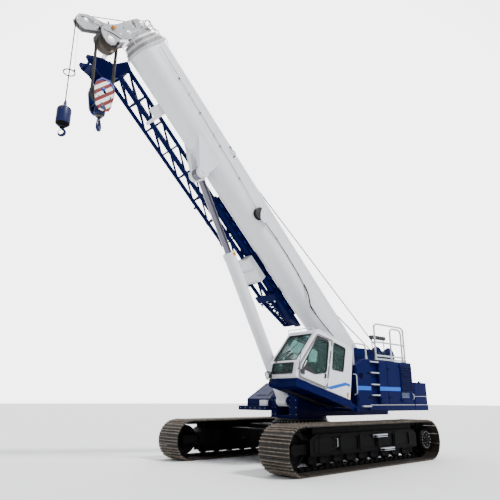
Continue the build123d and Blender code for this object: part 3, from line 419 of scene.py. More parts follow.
def stripedPaint(name, first, second, bandMm, angle):
    # warning stripes sprayed over a mask: crisp slanting bands of two colours, glossy, chipped at the edges
    material, tree, shader, place = startMaterial(name)
    split = addNode(tree, "ShaderNodeSeparateXYZ", {"Vector": place}).outputs
    value = split["X"]
    for operation, other in (("MULTIPLY", math.tan(math.radians(angle))), ("ADD", split["Z"]),
                             ("MULTIPLY", perMetre(2 * bandMm)), ("FRACT", 0.5), ("GREATER_THAN", 0.5)):
        value = addNode(tree, "ShaderNodeMath", {0: value, 1: other}, operation=operation)
    colour = addNode(tree, blend, {0: value, 6: linear(first), 7: linear(second)}, data_type="RGBA")
    wear = addNode(tree, noise, {"Vector": place, "Scale": perMetre(25), "Detail": 7.0, "Roughness": 0.7})
    chipped = addNode(tree, spread, {"Value": wear, "From Min": 0.60, "From Max": 0.70, "To Max": 0.6})
    final = addNode(tree, blend, {0: chipped, 6: colour, 7: linear("#7d7468")}, data_type="RGBA")
    setInputs(tree, shader, {"Base Color": final, "Roughness": 0.38, "Coat Weight": 0.04, "IOR": 1.25})
    return material


cabGlass, seatCloth = tintedGlass(), seatFabric()
amberLens, lampLens = lens("amberMarkerLens", "#c67a00", 0.3), lens("clearLampLens", "#d5dadd", 0.8)
blockStripes = stripedPaint("redWhiteBlockStripes", "#6b0005", "#e6e5e2", 112, 44)

slotOf = {
    whitePaint: "white_paint", skyPaint: "light_blue_paint", navyPaint: "dark_blue_paint",
    grilleNavyWithPaintedShade: "dark_blue_paint", sideBlue: "dark_blue_paint", greyPaint: "grey_paint", ventGrey: "grey_paint",
    blackPaint: "black_paint", ringSteel: "black_paint", blackRubber: "black_trim", blackPlastic: "black_trim",
    seatCloth: "black_trim", sheaveSteel: "sheave_steel", ropeSteel: "rope_steel", hookNavy: "hook_paint",
    blockStripes: "striped_paint", amberLens: "striped_paint", beltWebbing: "striped_paint",
}
nodeLook = (
    (blackPaint, "carbody slew_ring track_frame_left track_frame_right wheels_left wheels_right sprocket_left "
                 "sprocket_right"),
    (shoeSteelWithPaintedShade, "track_left track_right"),
    (navyPaint, "upper_frame front_box house_left house_right hood counterweight grille_and_steps winch_main "
                "winch_aux cab_platform jib_lattice jib_box hook_block main_hook aux_weight"),
    (whitePaint, "cab_shell door boom_base boom_section_2 boom_section_3 boom_section_4 boom_section_5 lift_barrel"),
    (weatheredAndShadedWhite, "boom_head rooster"), (greyPaint, "engine guard_rails"), (cabGlass, "cab_glass door_glass"),
    (blackPlastic, "cab_interior boom_fittings"), (sheaveSteel, "head_sheaves"),
    (ropeSteel, "main_falls whip_rope"), (chromeRod, "lift_rod"),
)
for look, nodeNames in nodeLook:
    for nodeName in nodeNames.split():
        materials = frame["nodes"][nodeName].data.materials
        materials.clear()
        materials.append(look)
print("materials on the nodes")

# Camera, light and floor

cameraLook = {
    "place": onMachine(10.675, 9.733, 1.506),
    "ahead": Vector((-0.6395, -0.7113, 0.2917)),
    "rollDegrees": 0.264,
    "focalPixels": 493.45,
    "imagePixels": 500,
    "sensorMm": 36.0,
}
cameraData = bpy.data.cameras.new("photoCamera")
cameraData.sensor_width = cameraLook["sensorMm"]
cameraData.lens = cameraLook["focalPixels"] / cameraLook["imagePixels"] * cameraLook["sensorMm"]
cameraData.clip_end = 500
camera = addObject("photoCamera", cameraData)
cameraTurn = cameraLook["ahead"].to_track_quat("-Z", "Y").to_matrix().to_4x4()
cameraRoll = Matrix.Rotation(math.radians(cameraLook["rollDegrees"]), 4, "Z")
camera.matrix_world = Matrix.Translation(cameraLook["place"]) @ cameraTurn @ cameraRoll
bpy.context.scene.camera = camera

floorMesh = bmesh.new()
bmesh.ops.create_grid(floorMesh, x_segments=1, y_segments=1, size=200)
floorData = bpy.data.meshes.new("studioFloor")
floorMesh.to_mesh(floorData)
floorMesh.free()
floorLook, floorTree, floorShader, floorPlace = startMaterial("paleStudioFloor")
setInputs(floorTree, floorShader, {"Base Color": linear("#dcdcdc"), "Roughness": 0.9})
floorData.materials.append(floorLook)
addObject("studioFloor", floorData)

studioLights = (
    # name, direction it comes from, strength, angular size in degrees
    ("keySun", (-0.25, 0.75, 0.85), 4.6, 10),
    ("frontFill", (0.9, 0.55, 0.45), 0.35, 60),
)
for lightName, comesFrom, strength, size in studioLights:
    lightData = bpy.data.lights.new(lightName, "SUN")
    lightData.energy, lightData.angle = strength, math.radians(size)
    addObject(lightName, lightData).matrix_world = Vector(comesFrom).to_track_quat("Z", "Y").to_matrix().to_4x4()

# white sweep behind the machine, softer room light on the side that faces the photographer
worldLook = {
    "sweepFrom": (-0.66, -0.75, 0.12), "sweepColour": "#ffffff", "roomColour": "#dfe4ec",
    "sweepStrength": 5.0, "roomStrength": 0.36, "edge": (0.06, 0.78),
}
world = bpy.data.worlds.new("studioSweep")
world.use_nodes = True
worldTree = world.node_tree
heading = addNode(worldTree, "ShaderNodeTexCoord").outputs["Generated"]
towards = addNode(worldTree, "ShaderNodeVectorMath", {0: heading, 1: worldLook["sweepFrom"]}, operation="DOT_PRODUCT")
share = addNode(worldTree, spread, {"Value": towards.outputs["Value"], "From Min": worldLook["edge"][0],
                                    "From Max": worldLook["edge"][1]})
tint = addNode(worldTree, blend, {0: share, 6: linear(worldLook["roomColour"]), 7: linear(worldLook["sweepColour"])},
               data_type="RGBA")
power = addNode(worldTree, spread, {"Value": share, "To Min": worldLook["roomStrength"],
                                    "To Max": worldLook["sweepStrength"]})
setInputs(worldTree, worldTree.nodes["Background"], {"Color": tint, "Strength": power})
bpy.context.scene.world = world
print("camera, light and floor")

# Node trees for what repeats

def startTree(name, inputs):
    # inputs: names by the kind of their socket
    tree = bpy.data.node_groups.new(name, "GeometryNodeTree")
    tree.interface.new_socket("Geometry", in_out="INPUT", socket_type="NodeSocketGeometry")
    for socketName, kind in inputs.items():
        tree.interface.new_socket(socketName, in_out="INPUT", socket_type="NodeSocket" + kind)
    tree.interface.new_socket("Geometry", in_out="OUTPUT", socket_type="NodeSocketGeometry")
    return tree, addNode(tree, "NodeGroupInput").outputs


def endTree(tree, branches):
    # each branch is a geometry with its material; instances become real faces
    joined = addNode(tree, "GeometryNodeJoinGeometry")
    for geometry, material in reversed(branches):
        real = addNode(tree, "GeometryNodeRealizeInstances", {"Geometry": geometry})
        coated = addNode(tree, "GeometryNodeSetMaterial", {"Geometry": real, "Material": material})
        tree.links.new(coated.outputs[0], joined.inputs[0])
    addNode(tree, "NodeGroupOutput", {0: joined})


def bakeTree(name, tree, values, body, slotName, path=((0, 0, 0),), cyclic=False, replaced=(), turn=None, smooth=35):
    # runs the tree on a run of points and keeps the plain mesh it gives
    source = bpy.data.meshes.new(name + "Path")
    links = [(i, i + 1) for i in range(len(path) - 1)] + ([(len(path) - 1, 0)] if cyclic else [])
    source.from_pydata([tuple(point) for point in path], links, [])
    holder = addObject(name + "Path", source)
    modifier = holder.modifiers.new("nodes", "NODES")
    modifier.node_group = tree
    for item in tree.interface.items_tree:
        if item.item_type == "SOCKET" and item.in_out == "INPUT" and item.name in values:
            modifier[item.identifier] = values[item.name]
    depsgraph = bpy.context.evaluated_depsgraph_get()
    data = bpy.data.meshes.new_from_object(holder.evaluated_get(depsgraph), depsgraph=depsgraph)
    holder.modifiers.remove(modifier)
    bpy.data.objects.remove(holder)
    data.name = name
    if turn is not None:
        data.transform(turn)
    return finishPiece(name, data, body, slotName, replaced, smooth)


def plain(x, y, z):
    return Vector((x, y, z))


# Crawler tracks: triple-grouser shoes bolted to a chain of links, copied along the loop

trackLook = {
    "length": 6.1,
    "height": 1.015,
    "shoeWidth": 0.876,
    "shoes": 60,
    "pinDepth": 0.099,       # chain pins below the grousers' tips
    "barHeight": 0.030,
    "barSpacing": 0.075,
    "barTip": 0.0065,
    "barFoot": 0.011,
    "boltRadius": 0.015,
    "linkHeight": 0.046,
    "linkPinRadius": 0.026,
}


def makeShoe():
    # plate whose lips lap over the next shoes, dark largely with painted shade, and its three bars, whose tips the
    # ground keeps bright
    look = trackLook
    half, sunk = look["shoeWidth"] / 2, look["pinDepth"]
    plate = ((-0.100, 0.030), (0.098, 0.026), (0.114, 0.030), (0.118, 0.040), (0.104, 0.042), (0.096, 0.050),
             (-0.100, 0.046), (-0.122, 0.053), (-0.128, 0.045), (-0.106, 0.036))
    prism(plain, [(a, b - sunk) for a, b in plate], -half, half)
    for side in (-0.075, 0.075):
        for ahead in (-0.037, 0.037):
            hexHead(Vector((ahead, side, look["barHeight"] - sunk)), -up, look["boltRadius"], 0.012)
    yield addObject("shoePlateStamp", takeMesh("shoePlateStamp"))
    for bar in (-1, 0, 1):
        centre = bar * look["barSpacing"]
        outline = ((-look["barFoot"], 0.036), (-look["barTip"], 0.0), (look["barTip"], 0.0), (look["barFoot"], 0.036))
        prism(plain, [(centre + a, b - sunk) for a, b in outline], -half, half)
    yield addObject("shoeBarStamp", takeMesh("shoeBarStamp"))


def makeLink():
    high = trackLook["linkHeight"]
    for side in (-1, 1):
        rear = [(-0.135, -high * 0.5), (-0.02, -high), (0.02, -high), (0.02, high * 0.75), (-0.12, high * 0.75)]
        front = [(0.02, -high), (0.09, -high), (0.135, -high * 0.5), (0.12, high * 0.75), (0.02, high * 0.75)]
        prism(plain, rear, side * 0.066, side * 0.092)
        prism(plain, front, side * 0.040, side * 0.066)
    rod(Vector((0.106, -0.095, 0)), Vector((0.106, 0.095, 0)), trackLook["linkPinRadius"], 10)
    return addObject("linkStamp", takeMesh("linkStamp"))


def makeTracks():
    look = trackLook
    tree, given = startTree("trackLoop", {"Shoes": "Int", "Plate": "Object", "Bars": "Object", "Link": "Object"})
    loop = addNode(tree, "GeometryNodeMeshToCurve", {"Mesh": given["Geometry"]})
    even = addNode(tree, "GeometryNodeResampleCurve", {"Curve": loop, "Count": given["Shoes"]})
    turned = addNode(tree, "FunctionNodeAlignRotationToVector", {"Vector": addNode(tree, "GeometryNodeInputTangent")},
                     axis="X", pivot_axis="Y")
    branches = []
    for key, material in (("Plate", shoeSteelWithPaintedShade), ("Bars", barSteel), ("Link", blackPaint)):
        stamp = addNode(tree, "GeometryNodeObjectInfo", {"Object": given[key]}).outputs["Geometry"]
        copies = addNode(tree, "GeometryNodeInstanceOnPoints", {"Points": even, "Instance": stamp, "Rotation": turned})
        branches.append((copies, material))
    endTree(tree, branches)
    stamps = dict(zip(("Plate", "Bars", "Link"), (*makeShoe(), makeLink())))
    height = look["height"] / 2
    radius, reach = height - look["pinDepth"], look["length"] / 2 - height
    for side in ("left", "right"):
        low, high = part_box("track_" + side)
        middle, path = (low.y + high.y) / 2, []
        for centre, start in ((reach, -90), (-reach, 90)):
            for k in range(41):
                a = math.radians(start + 180 * k / 40)
                path.append(onMachine(centre + radius * math.cos(a), middle, height + radius * math.sin(a)))
        values = {"Shoes": look["shoes"], **stamps}
        bakeTree("crawlerTrack_" + side, tree, values, "undercarriage", "track_steel", path, True, ("track_" + side,))
    for stamp in stamps.values():
        bpy.data.objects.remove(stamp)
    print("tracks,", look["shoes"], "shoes each")


makeTracks()

# Undercarriage: rollers, idlers, final drives, steps, frame trim and slewing ring

chassisLook = {
    "reach": 2.5425, "axleHeight": 0.5075, "rollerPitch": 0.47, "rollerPairs": 4, "rollerHeight": 0.2413,
    "rollerShape": ((0, 0.04), (0.0197, 0.04), (0.0197, 0.085), (0.026, 0.105), (0.075, 0.105), (0.082, 0.08),
                    (0.127, 0.08), (0.134, 0.105), (0.183, 0.105), (0.1897, 0.085), (0.1897, 0.04), (0.2094, 0.04)),
    "idlerShape": ((0, 0.05), (0, 0.09), (0.055, 0.095), (0.06, 0.295), (0.022, 0.311), (0.02, 0.358),
                   (0.03, 0.3712), (0.19, 0.3712), (0.2, 0.358), (0.198, 0.311), (0.16, 0.295), (0.165, 0.095),
                   (0.22, 0.09), (0.22, 0.05)),
    "driveOut": 0.295, "driveBolts": 16, "driveBoltCircle": 0.205,
    "frameHalf": 2.15, "frameLow": 0.355, "frameOut": 0.23,
    "steps": ((-0.45, 0.69), (-0.73, 0.37)), "stepHalf": 0.3, "stepReach": 0.105,
    "panelPitch": 0.74, "boltRadius": 0.014,
}


def flat(height):
    # lays an outline flat on the machine at that height
    return lambda a, t, b: onMachine(a, b, height + t)


def makeChassis():
    look = chassisLook
    half, low = look["frameHalf"], look["frameLow"]
    for side, sign in (("left", 1), ("right", -1)):
        lowCorner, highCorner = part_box("wheels_" + side)
        y = (lowCorner.y + highCorner.y) / 2
        out = sign * left
        for k in range(-look["rollerPairs"], look["rollerPairs"] + 1):
            lathe(onMachine(k * look["rollerPitch"], y - 0.1047, look["rollerHeight"]), left, look["rollerShape"], 28)
        lathe(onMachine(look["reach"], y - 0.11, look["axleHeight"]), left, look["idlerShape"], 48)
        makePiece("wheelSet_" + side, (blackPaint,), "undercarriage", ("wheels_" + side,))
        # bolted cover of the final drive
        face = onMachine(-look["reach"], y + sign * look["driveOut"], look["axleHeight"])
        lathe(face, out, ((0, 0.165), (0.012, 0.16), (0.02, 0.1), (0.035, 0.09), (0.04, 0.03)), 32)
        boltRing(face, out, look["driveBoltCircle"], look["driveBolts"], 0.013, 0.014, 1)
        boltRing(face + out * 0.018, out, 0.13, 6, 0.01, 0.01, 1, 0.3)
        makePiece("finalDrive_" + side, (blackPaint, boltSteel), "undercarriage", bevel=0.002)
        # frame trim: ledge, guards that keep the chain on its slide rails, roller guards
        face = y + sign * look["frameOut"]
        slab(onMachine, (0.04 - half, half - 0.04), (face, face + sign * 0.022), (low + 0.02, low + 0.032))
        for spot, bSpan in ((y - 0.155, (0.79, 0.93)), (y + 0.155, (0.79, 0.93)), (y - sign * 0.165, (0.175, 0.36))):
            slab(onMachine, (0.16 - half, half - 0.16), (spot - 0.008, spot + 0.008), bSpan)
        for k in range(-4, 4):
            centre = (k + 0.5) * look["rollerPitch"]
            guard = ((-0.13, 0.365), (-0.13, 0.25), (-0.07, 0.2), (0.07, 0.2), (0.13, 0.25), (0.13, 0.365))
            prism(onMachine, [(centre + a, b) for a, b in guard], y + sign * 0.13, y + sign * 0.165)
            for ahead in (-0.08, 0.08):
                hexHead(onMachine(centre + ahead, y + sign * 0.165, 0.31), out, 0.016, 0.014)
        # bolts and ribs of the recessed panels
        for k in range(-2, 3):
            for a in (-0.325, 0.325):
                for b in (-0.18, 0, 0.18):
                    hexHead(onMachine(k * look["panelPitch"] + a, face, 0.5775 + b), out, look["boltRadius"], 0.012)
            rib = k * look["panelPitch"] + 0.35
            slab(onMachine, (rib, rib + 0.04), (face - sign * 0.002, face + sign * 0.018), (0.42, 0.74))
        # cover over the tensioner, with its grab handle
        cover = roundedPolygon(((1.45, 0.43), (2.02, 0.43), (2.02, 0.7), (1.45, 0.74)), 0.03)
        prism(onMachine, cover, face - sign * 0.026, face + sign * 0.01)
        grip = ((-0.01, 0.52), (0.06, 0.52), (0.06, 0.7), (-0.01, 0.7))
        pipe([onMachine(1.28, face + sign * p, q) for p, q in grip], 0.012, 0.03, 8, 2)
        makePiece("frameTrim_" + side, (blackPaint, greyPaint, boltSteel), "undercarriage", bevel=0.003)
        # pressed steel steps with raised tread bars
        h, reach = look["stepHalf"], look["stepReach"]
        tread = ((-h, 0), (-h + 0.05, reach * 0.8), (-h + 0.16, reach), (h - 0.16, reach), (h - 0.05, reach * 0.8),
                 (h, 0))
        for centre, z in look["steps"]:
            outline = roundedPolygon([(centre + a, face + sign * b) for a, b in tread], 0.03)
            prism(flat(z), outline, 0.012, 0.034)
            prism(flat(z), outline, -0.026, -0.014)
            for k in range(9):
                a = centre - h + 0.1 + k * (2 * h - 0.2) / 8
                slab(onMachine, (a - 0.006, a + 0.006), (face + sign * 0.012, face + sign * (reach - 0.01)),
                     (z + 0.03, z + 0.04))
        makePiece("trackStep_" + side, (greyPaint,), "undercarriage", bevel=0.003)
    # car body: ring bolts, cover plates, stiffeners and hoses
    boltRing(onMachine(0, 0, 0.96), up, 0.758, 48, 0.014, 0.018, 1)
    for a in (-0.72, 0.72):
        for b in (-0.72, 0.72):
            prism(flat(0.9), roundedOutline(0.26, 0.24, 0.03, centre=(a, b)), -0.002, 0.01)
            for p, q in ((-0.1, -0.09), (0.1, -0.09), (0.1, 0.09), (-0.1, 0.09)):
                hexHead(onMachine(a + p, b + q, 0.909), up, 0.01, 0.008, 1)
    for side in (-1, 1):
        for y in (-1.35, -0.35, 0.35, 1.35):
            slab(onMachine, (side * 1.34, side * 1.356), (y - 0.02, y + 0.02), (0.5, 0.77))
        hose = points(onMachine, (side * 0.93, 1.18, 0.62), (side * 0.93, 1.28, 0.6), (side * 1.05, 1.4, 0.63),
                      (side * 1.1, 1.74, 0.66))
        pipe(hose, 0.018, 0.08, 10, 2)
        pipe([p + Vector((0.06, 0, 0.05)) for p in hose], 0.014, 0.08, 10, 2)
    makePiece("carbodyTrim", (blackPaint, boltSteel, blackRubber), "undercarriage", bevel=0.003)
    # toothed outer race of the slewing ring
    race = ((0, 0.7), (0, 0.722), (0.03, 0.726), (0.036, 0.7), (0.044, 0.7), (0.05, 0.724), (0.086, 0.724),
            (0.0895, 0.7))
    lathe(onMachine(0, 0, 0.9602), up, race, 96)
    boltRing(onMachine(0, 0, 1.0485), up, 0.71, 60, 0.009, 0.002, 1)
    makePiece("slewRace", (ringSteel, boltSteel), "undercarriage")
    print("undercarriage trim")


makeChassis()


# Housings: door panels with seams, stripe, grilles, steps, latches and hinges

houseLook = {
    "side": 1.4, "proud": 0.009, "roof": 2.64,
    "stripe": (1.79, 1.9), "stripeRuns": ((-1.37, -0.735), (-2.86, -1.79)),
    "panels": (((-1.36, -0.735), (1.425, 2.36)), ((-2.2, -1.8), (1.425, 2.6)), ((-2.87, -2.22), (1.425, 2.6)),
               ((-3.54, -2.89), (1.425, 2.6))),
    "steps": (1.64, 1.93, 2.25, 2.55), "stepSpan": (-1.75, -1.4),
    "louvres": (((-3.47, -2.93), (2.3, 2.53), 7), ((-3.47, -2.93), (1.79, 2.24), 13)),
    "latches": ((-1.28, 1.6), (-1.28, 2.25), (-2.28, 1.6), (-2.28, 2.4), (-2.96, 1.52)),
    "hinges": ((-0.78, 1.55), (-0.78, 2.2), (-2.83, 1.55), (-2.83, 2.5), (-1.84, 1.55), (-1.84, 2.5)),
}


def louvreBlades(aSpan, bSpan, count, y, out):
    # pressed blades that lean outward, in a thin raised rim
    (a0, a1), (b0, b1) = aSpan, bSpan
    rim = 0.018
    outer = ((a0, b0), (a1, b0), (a1, b1), (a0, b1))
    inner = ((a0 + rim, b0 + rim), (a1 - rim, b0 + rim), (a1 - rim, b1 - rim), (a0 + rim, b1 - rim))
    frameStrip(onMachine, outer, inner, y, y + out * 0.016)
    step = (b1 - b0 - 2 * rim) / count
    for k in range(count):
        low = b0 + rim + k * step
        skin([points(onMachine, (a, y + out * 0.014, low), (a, y + out * 0.01, low),
                     (a, y - out * 0.003, low + step * 0.75), (a, y + out * 0.001, low + step * 0.75))
              for a in (a0 + rim, a1 - rim)])


def latch(a, b, y, out, material=0):
    prism(onMachine, roundedOutline(0.09, 0.05, 0.012, 3, (a, b)), y, y + out * 0.01, material)
    slab(onMachine, (a - 0.03, a + 0.03), (y + out * 0.009, y + out * 0.018), (b - 0.008, b + 0.008), material)


def doorPanel(aSpan, bSpan, yLow, yHigh):
    (a0, a1), (b0, b1) = aSpan, bSpan
    prism(onMachine, roundedOutline(a1 - a0, b1 - b0, 0.02, 3, ((a0 + a1) / 2, (b0 + b1) / 2)), yLow, yHigh)


def roofTrim(eyes, cover, centre, height):
    # lifting eyes and a cover plate on a housing's roof
    lug = ((-0.05, 2.638), (0.05, 2.638), (0.05, 2.68), (0.025, 2.72), (-0.025, 2.72), (-0.05, 2.68))
    for a, y in eyes:
        prism(onMachine, roundedPolygon([(a + p, q) for p, q in lug], 0.012), y - 0.008, y + 0.008)
    prism(flat(houseLook["roof"]), roundedOutline(*cover, 0.05, 4, centre), -0.001, height)


def makeHouseLeft():
    look = houseLook
    side, face = look["side"], look["side"] + look["proud"]
    for aSpan, bSpan in look["panels"]:
        doorPanel(aSpan, bSpan, side - 0.001, face)
    for a, b in look["hinges"]:
        rod(onMachine(a, face + 0.004, b - 0.045), onMachine(a, face + 0.004, b + 0.045), 0.011, 8)
        slab(onMachine, (a - 0.028, a + 0.028), (face - 0.001, face + 0.005), (b - 0.04, b + 0.04))
    for y in (0.62, 1.0):
        slab(onMachine, (-3.5, -2.35), (y - 0.012, y + 0.012), (2.639, 2.65))
    roofTrim(((-1.35, 1.28), (-3.45, 0.56), (-3.45, 1.2)), (0.86, 0.62), (-2.9, 0.82), 0.028)
    makePiece("housePanels", (navyPaint,), "upper", bevel=0.0025)
    for span in look["stripeRuns"]:
        slab(onMachine, span, (face - 0.001, face + 0.0015), look["stripe"])
    makePiece("houseStripe", (skyPaint,), "upper")

    # louvre panels, latches and a cap in a navy darker than the housing: on the louvres it is partly painted shade
    # between the blades
    for aSpan, bSpan, count in look["louvres"]:
        slab(onMachine, aSpan, (face - 0.001, face + 0.002), bSpan)
        louvreBlades(aSpan, bSpan, count, face + 0.002, 1)
    for a, b in look["latches"]:
        latch(a, b, face, 1)
    lathe(onMachine(-0.93, face - 0.001, 2.171), left,
          ((0, 0.075), (0.016, 0.072), (0.018, 0.055), (0.006, 0.05), (0.006, 0.01)))
    latch(-3.0, 2.267, face + 0.014, 1)
    makePiece("houseGrilles", (grilleNavyWithPaintedShade,), "upper", bevel=0.001)
    louvreBlades((-3.29, -2.9), (1.6, 1.745), 4, face, 1)
    makePiece("houseVent", (ventGrey,), "upper", bevel=0.001)

    low, high = look["stepSpan"]
    for z in look["steps"]:
        pipe(points(onMachine, (high, side - 0.068, z + 0.02), (high, side + 0.035, z + 0.02),
                    (low, side + 0.035, z + 0.02), (low, side - 0.068, z + 0.02)), 0.017, 0.02, 10, 0, 3)
        slab(onMachine, (low, high), (side - 0.068, side + 0.024), (z + 0.008, z + 0.03))
    pipe(points(onMachine, (-0.702, 1.33, 2.205), (-0.662, 1.35, 2.205), (-0.662, 1.452, 2.19), (-0.662, 1.452, 1.69),
                (-0.662, 1.35, 1.67), (-0.702, 1.33, 1.67)), 0.015, 0.05)
    slab(onMachine, (-1.25, -0.88), (1.28, 1.475), (1.352, 1.386))
    for k in range(7):
        a = -1.22 + k * 0.052
        slab(onMachine, (a, a + 0.012), (1.3, 1.46), (1.384, 1.392))
    slab(onMachine, (-3.55, -1.26), (1.4265, 1.4325), (1.396, 1.41))
    pipe(points(onMachine, (-3.5, side + 0.005, 1.56), (-3.5, side + 0.05, 1.57), (-3.5, side + 0.05, 1.71),
                (-3.5, side + 0.005, 1.72)), 0.011, 0.02, 8)
    # sockets and clamps of the guard rails' posts
    for a in (-1.85, -2.67, -3.27, -3.41, -1.365):
        lathe(onMachine(a, 1.3, 2.638), up, ((0, 0.06), (0.008, 0.06), (0.01, 0.036), (0.09, 0.036)), 16)
        for p, q in ((-0.042, 0), (0.042, 0), (0, -0.042), (0, 0.042)):
            hexHead(onMachine(a + p, 1.3 + q, 2.646), up, 0.008, 0.007, 1)
    for a in (-3.41, -1.85):
        for z in (3.14, 3.6):
            lathe(onMachine(a, 1.3, z), up, ((0, 0.0265), (0.004, 0.032), (0.05, 0.032), (0.054, 0.0265)), 14)
    makePiece("houseSteps", (greyPaint, boltSteel), "upper", bevel=0.002)
    print("left housing")


def makeHouseRight():
    side = -houseLook["side"]
    for a0, a1 in ((-1.62, -0.76), (-2.56, -1.66), (-3.52, -2.6)):
        doorPanel((a0, a1), (1.34, 2.56), side - 0.009, side + 0.001)
        for b in (1.5, 2.4):
            rod(onMachine(a1 - 0.04, side - 0.013, b - 0.045), onMachine(a1 - 0.04, side - 0.013, b + 0.045), 0.011, 8)
    slab(onMachine, (-3.52, -0.72), (side - 0.004, side + 0.001), (1.27, 1.32))
    roofTrim(((-0.85, -1.25), (-3.4, -1.25), (-0.85, -0.6), (-3.4, -0.6)), (1.5, 0.7), (-2.35, -0.92), 0.035)
    makePiece("enginePanels", (navyPaint,), "upper", bevel=0.0025)
    for aSpan, bSpan, count in (((-2.5, -1.72), (1.8, 2.5), 16), ((-3.46, -2.66), (1.42, 2.5), 24)):
        slab(onMachine, aSpan, (side - 0.011, side - 0.008), bSpan)
        louvreBlades(aSpan, bSpan, count, side - 0.011, -1)
    for a in (-1.55, -2.5):
        latch(a, 1.62, side - 0.009, -1)
    for k in range(9):
        a = -2.95 + k * 0.15
        slab(flat(2.675), (a, a + 0.09), (-0.001, 0.004), (-1.2, -0.66))
    makePiece("engineGrilles", (blackPlastic,), "upper", bevel=0.001)
    # exhaust stack with its rain flap, filler cap and rail
    lathe(onMachine(-1.15, -0.75, 2.638), up, ((0, 0.11), (0.012, 0.11), (0.02, 0.062), (0.2, 0.062), (0.21, 0.066),
                                              (0.23, 0.066), (0.24, 0.058), (0.24, 0.05)), 28)
    boltRing(onMachine(-1.15, -0.75, 2.65), up, 0.09, 6, 0.009, 0.008)
    lathe(onMachine(-1.15, -1.15, 2.638), up, ((0, 0.07), (0.04, 0.07), (0.05, 0.06), (0.055, 0.02)))
    rail = ((-0.8, 2.638), (-0.8, 2.95), (-1.75, 2.95), (-1.75, 2.638))
    pipe([onMachine(a, -1.34, z) for a, z in rail], 0.018, 0.08)
    makePiece("engineStack", (greyPaint,), "upper", bevel=0.002)
    print("right housing")


def makeFrontBox():
    # bolted skirts and hatch of the front right box
    for y in (-1.385, -0.46):
        slab(onMachine, (0.742, 0.75), (y - 0.012, y + 0.012), (1.375, 1.55))
    slab(onMachine, (0.742, 0.749), (-1.39, -0.455), (1.545, 1.559))
    slope, rise = Vector((-0.784, 0, 0.456)).normalized(), Vector((0.456, 0, 0.784)).normalized()

    def onSlope(a, t, b):
        return onMachine(0.744, b, 1.559) + slope * a + rise * t
    prism(onSlope, roundedOutline(0.46, 0.5, 0.03, 4, (0.42, -0.95)), -0.001, 0.01)
    for a in (0.22, 0.62):
        for b in (-1.17, -0.73):
            hexHead(onSlope(a, 0.009, b), rise, 0.01, 0.008, 2)
    for b in (-1.395, -0.47):
        slab(onSlope, (0.02, 0.88), (-0.001, 0.007), (b, b + 0.02))
    for k in range(6):
        hexHead(onMachine(0.899, -1.5 + k * 0.2, 1.31), Vector((1, 0, 0)), 0.012, 0.01, 2)
    latch(0.3, 1.72, -1.4, -1, 3)
    doorPanel((-0.62, -0.05), (1.45, 1.95), -1.409, -1.399)
    doorPanel((0.02, 0.68), (1.42, 1.54), -1.409, -1.399)
    makePiece("frontBoxTrim", (navyPaint, whitePaint, boltSteel, blackPlastic), "upper", bevel=0.002)
    plate = roundedOutline(0.29, 0.2, 0.012, 3, (-0.73, 1.425))
    prism(lambda a, t, b: onMachine(0.744 + t, a, b), plate, 0.001, 0.007)
    grip = ((0.742, 1.34), (0.785, 1.35), (0.785, 1.51), (0.742, 1.52))
    pipe([onMachine(a, -0.512, z) for a, z in grip], 0.011, 0.02, 8)
    makePiece("frontBoxPlate", (whitePaint,), "upper", bevel=0.001)
    # cheeks of the girders beside the cylinder's foot, and hoses between them
    for side, y0, y1 in ((-1, -0.445, -0.225), (1, 0.225, 0.545)):
        slab(onMachine, (0.718, 0.728), (y0 + 0.02, y1 - 0.02), (1.1, 1.58))
        for b in (1.16, 1.34, 1.52):
            for y in (y0 + 0.05, y1 - 0.05):
                hexHead(onMachine(0.727, y, b), Vector((1, 0, 0)), 0.011, 0.01, 1)
        cheek = roundedPolygon(((0.56, 1.4), (0.715, 1.4), (0.715, 1.6), (0.56, 1.6)), 0.02)
        prism(onMachine, cheek, side * 0.225, side * 0.213)
    for side in (-1, 1):
        hose = points(onMachine, (0.25, side * 0.21, 1.55), (0.05, side * 0.25, 1.45), (-0.25, side * 0.28, 1.32),
                      (-0.6, side * 0.3, 1.2), (-1.2, side * 0.3, 1.155))
        pipe(hose, 0.02, 0.12, 10, 2)
        pipe([p - left * side * 0.05 for p in hose], 0.016, 0.12, 10, 2)
    makePiece("girderTrim", (navyPaint, boltSteel, blackRubber), "upper", bevel=0.003)
    print("front boxes")


def makeTail():
    # counterweight: lifting lugs, bolts and panels; ribs on the tops of the side plates
    lug = ((-4.12, 2.058), (-3.88, 2.058), (-3.9, 2.14), (-3.96, 2.2), (-4.04, 2.2), (-4.1, 2.14))
    for y in (-1.05, 1.05):
        prism(onMachine, roundedPolygon(lug, 0.03), y - 0.02, y + 0.02)
    for y in (-1.28, -0.75, 0.75, 1.28):
        lathe(onMachine(-4.15, y, 2.058), up, ((0, 0.07), (0.012, 0.07), (0.014, 0.04), (0.04, 0.038)), 20)
        hexHead(onMachine(-4.15, y, 2.09), up, 0.028, 0.03, 1)
    for side in (-1, 1):
        for bSpan in ((1.7, 2.03), (1.43, 1.62)):
            slab(onMachine, (-4.3, -3.66), (side * 1.399, side * 1.408), bSpan)
        slab(onMachine, (-4.399, -4.389), (side * 0.9 - 0.38, side * 0.9 + 0.38), (1.72, 2.0))
        for z in (2.62, 2.55):
            slab(onMachine, (-2.72, -1.72), (side * 0.445, side * 0.453), (z - 0.008, z + 0.008))
    makePiece("tailTrim", (navyPaint, boltSteel), "upper", bevel=0.004)
    for side in (-1, 1):
        face, out = onMachine(-2.35, side * 0.4448, 2.42), side * left
        lathe(face, out, ((0, 0.16), (0.018, 0.155), (0.022, 0.1), (0.04, 0.09), (0.045, 0.03)), 32)
        boltRing(face + out * 0.017, out, 0.13, 8, 0.013, 0.012, 1)
    slab(onMachine, (-4.385, -3.6), (1.399, 1.4035), (1.644, 1.656))
    slab(onMachine, (-4.385, -3.6), (1.429, 1.4335), (1.396, 1.41))
    makePiece("footPinCaps", (greyPaint, boltSteel), "upper", bevel=0.002)
    print("tail")


makeHouseLeft()
makeHouseRight()
makeFrontBox()
makeTail()


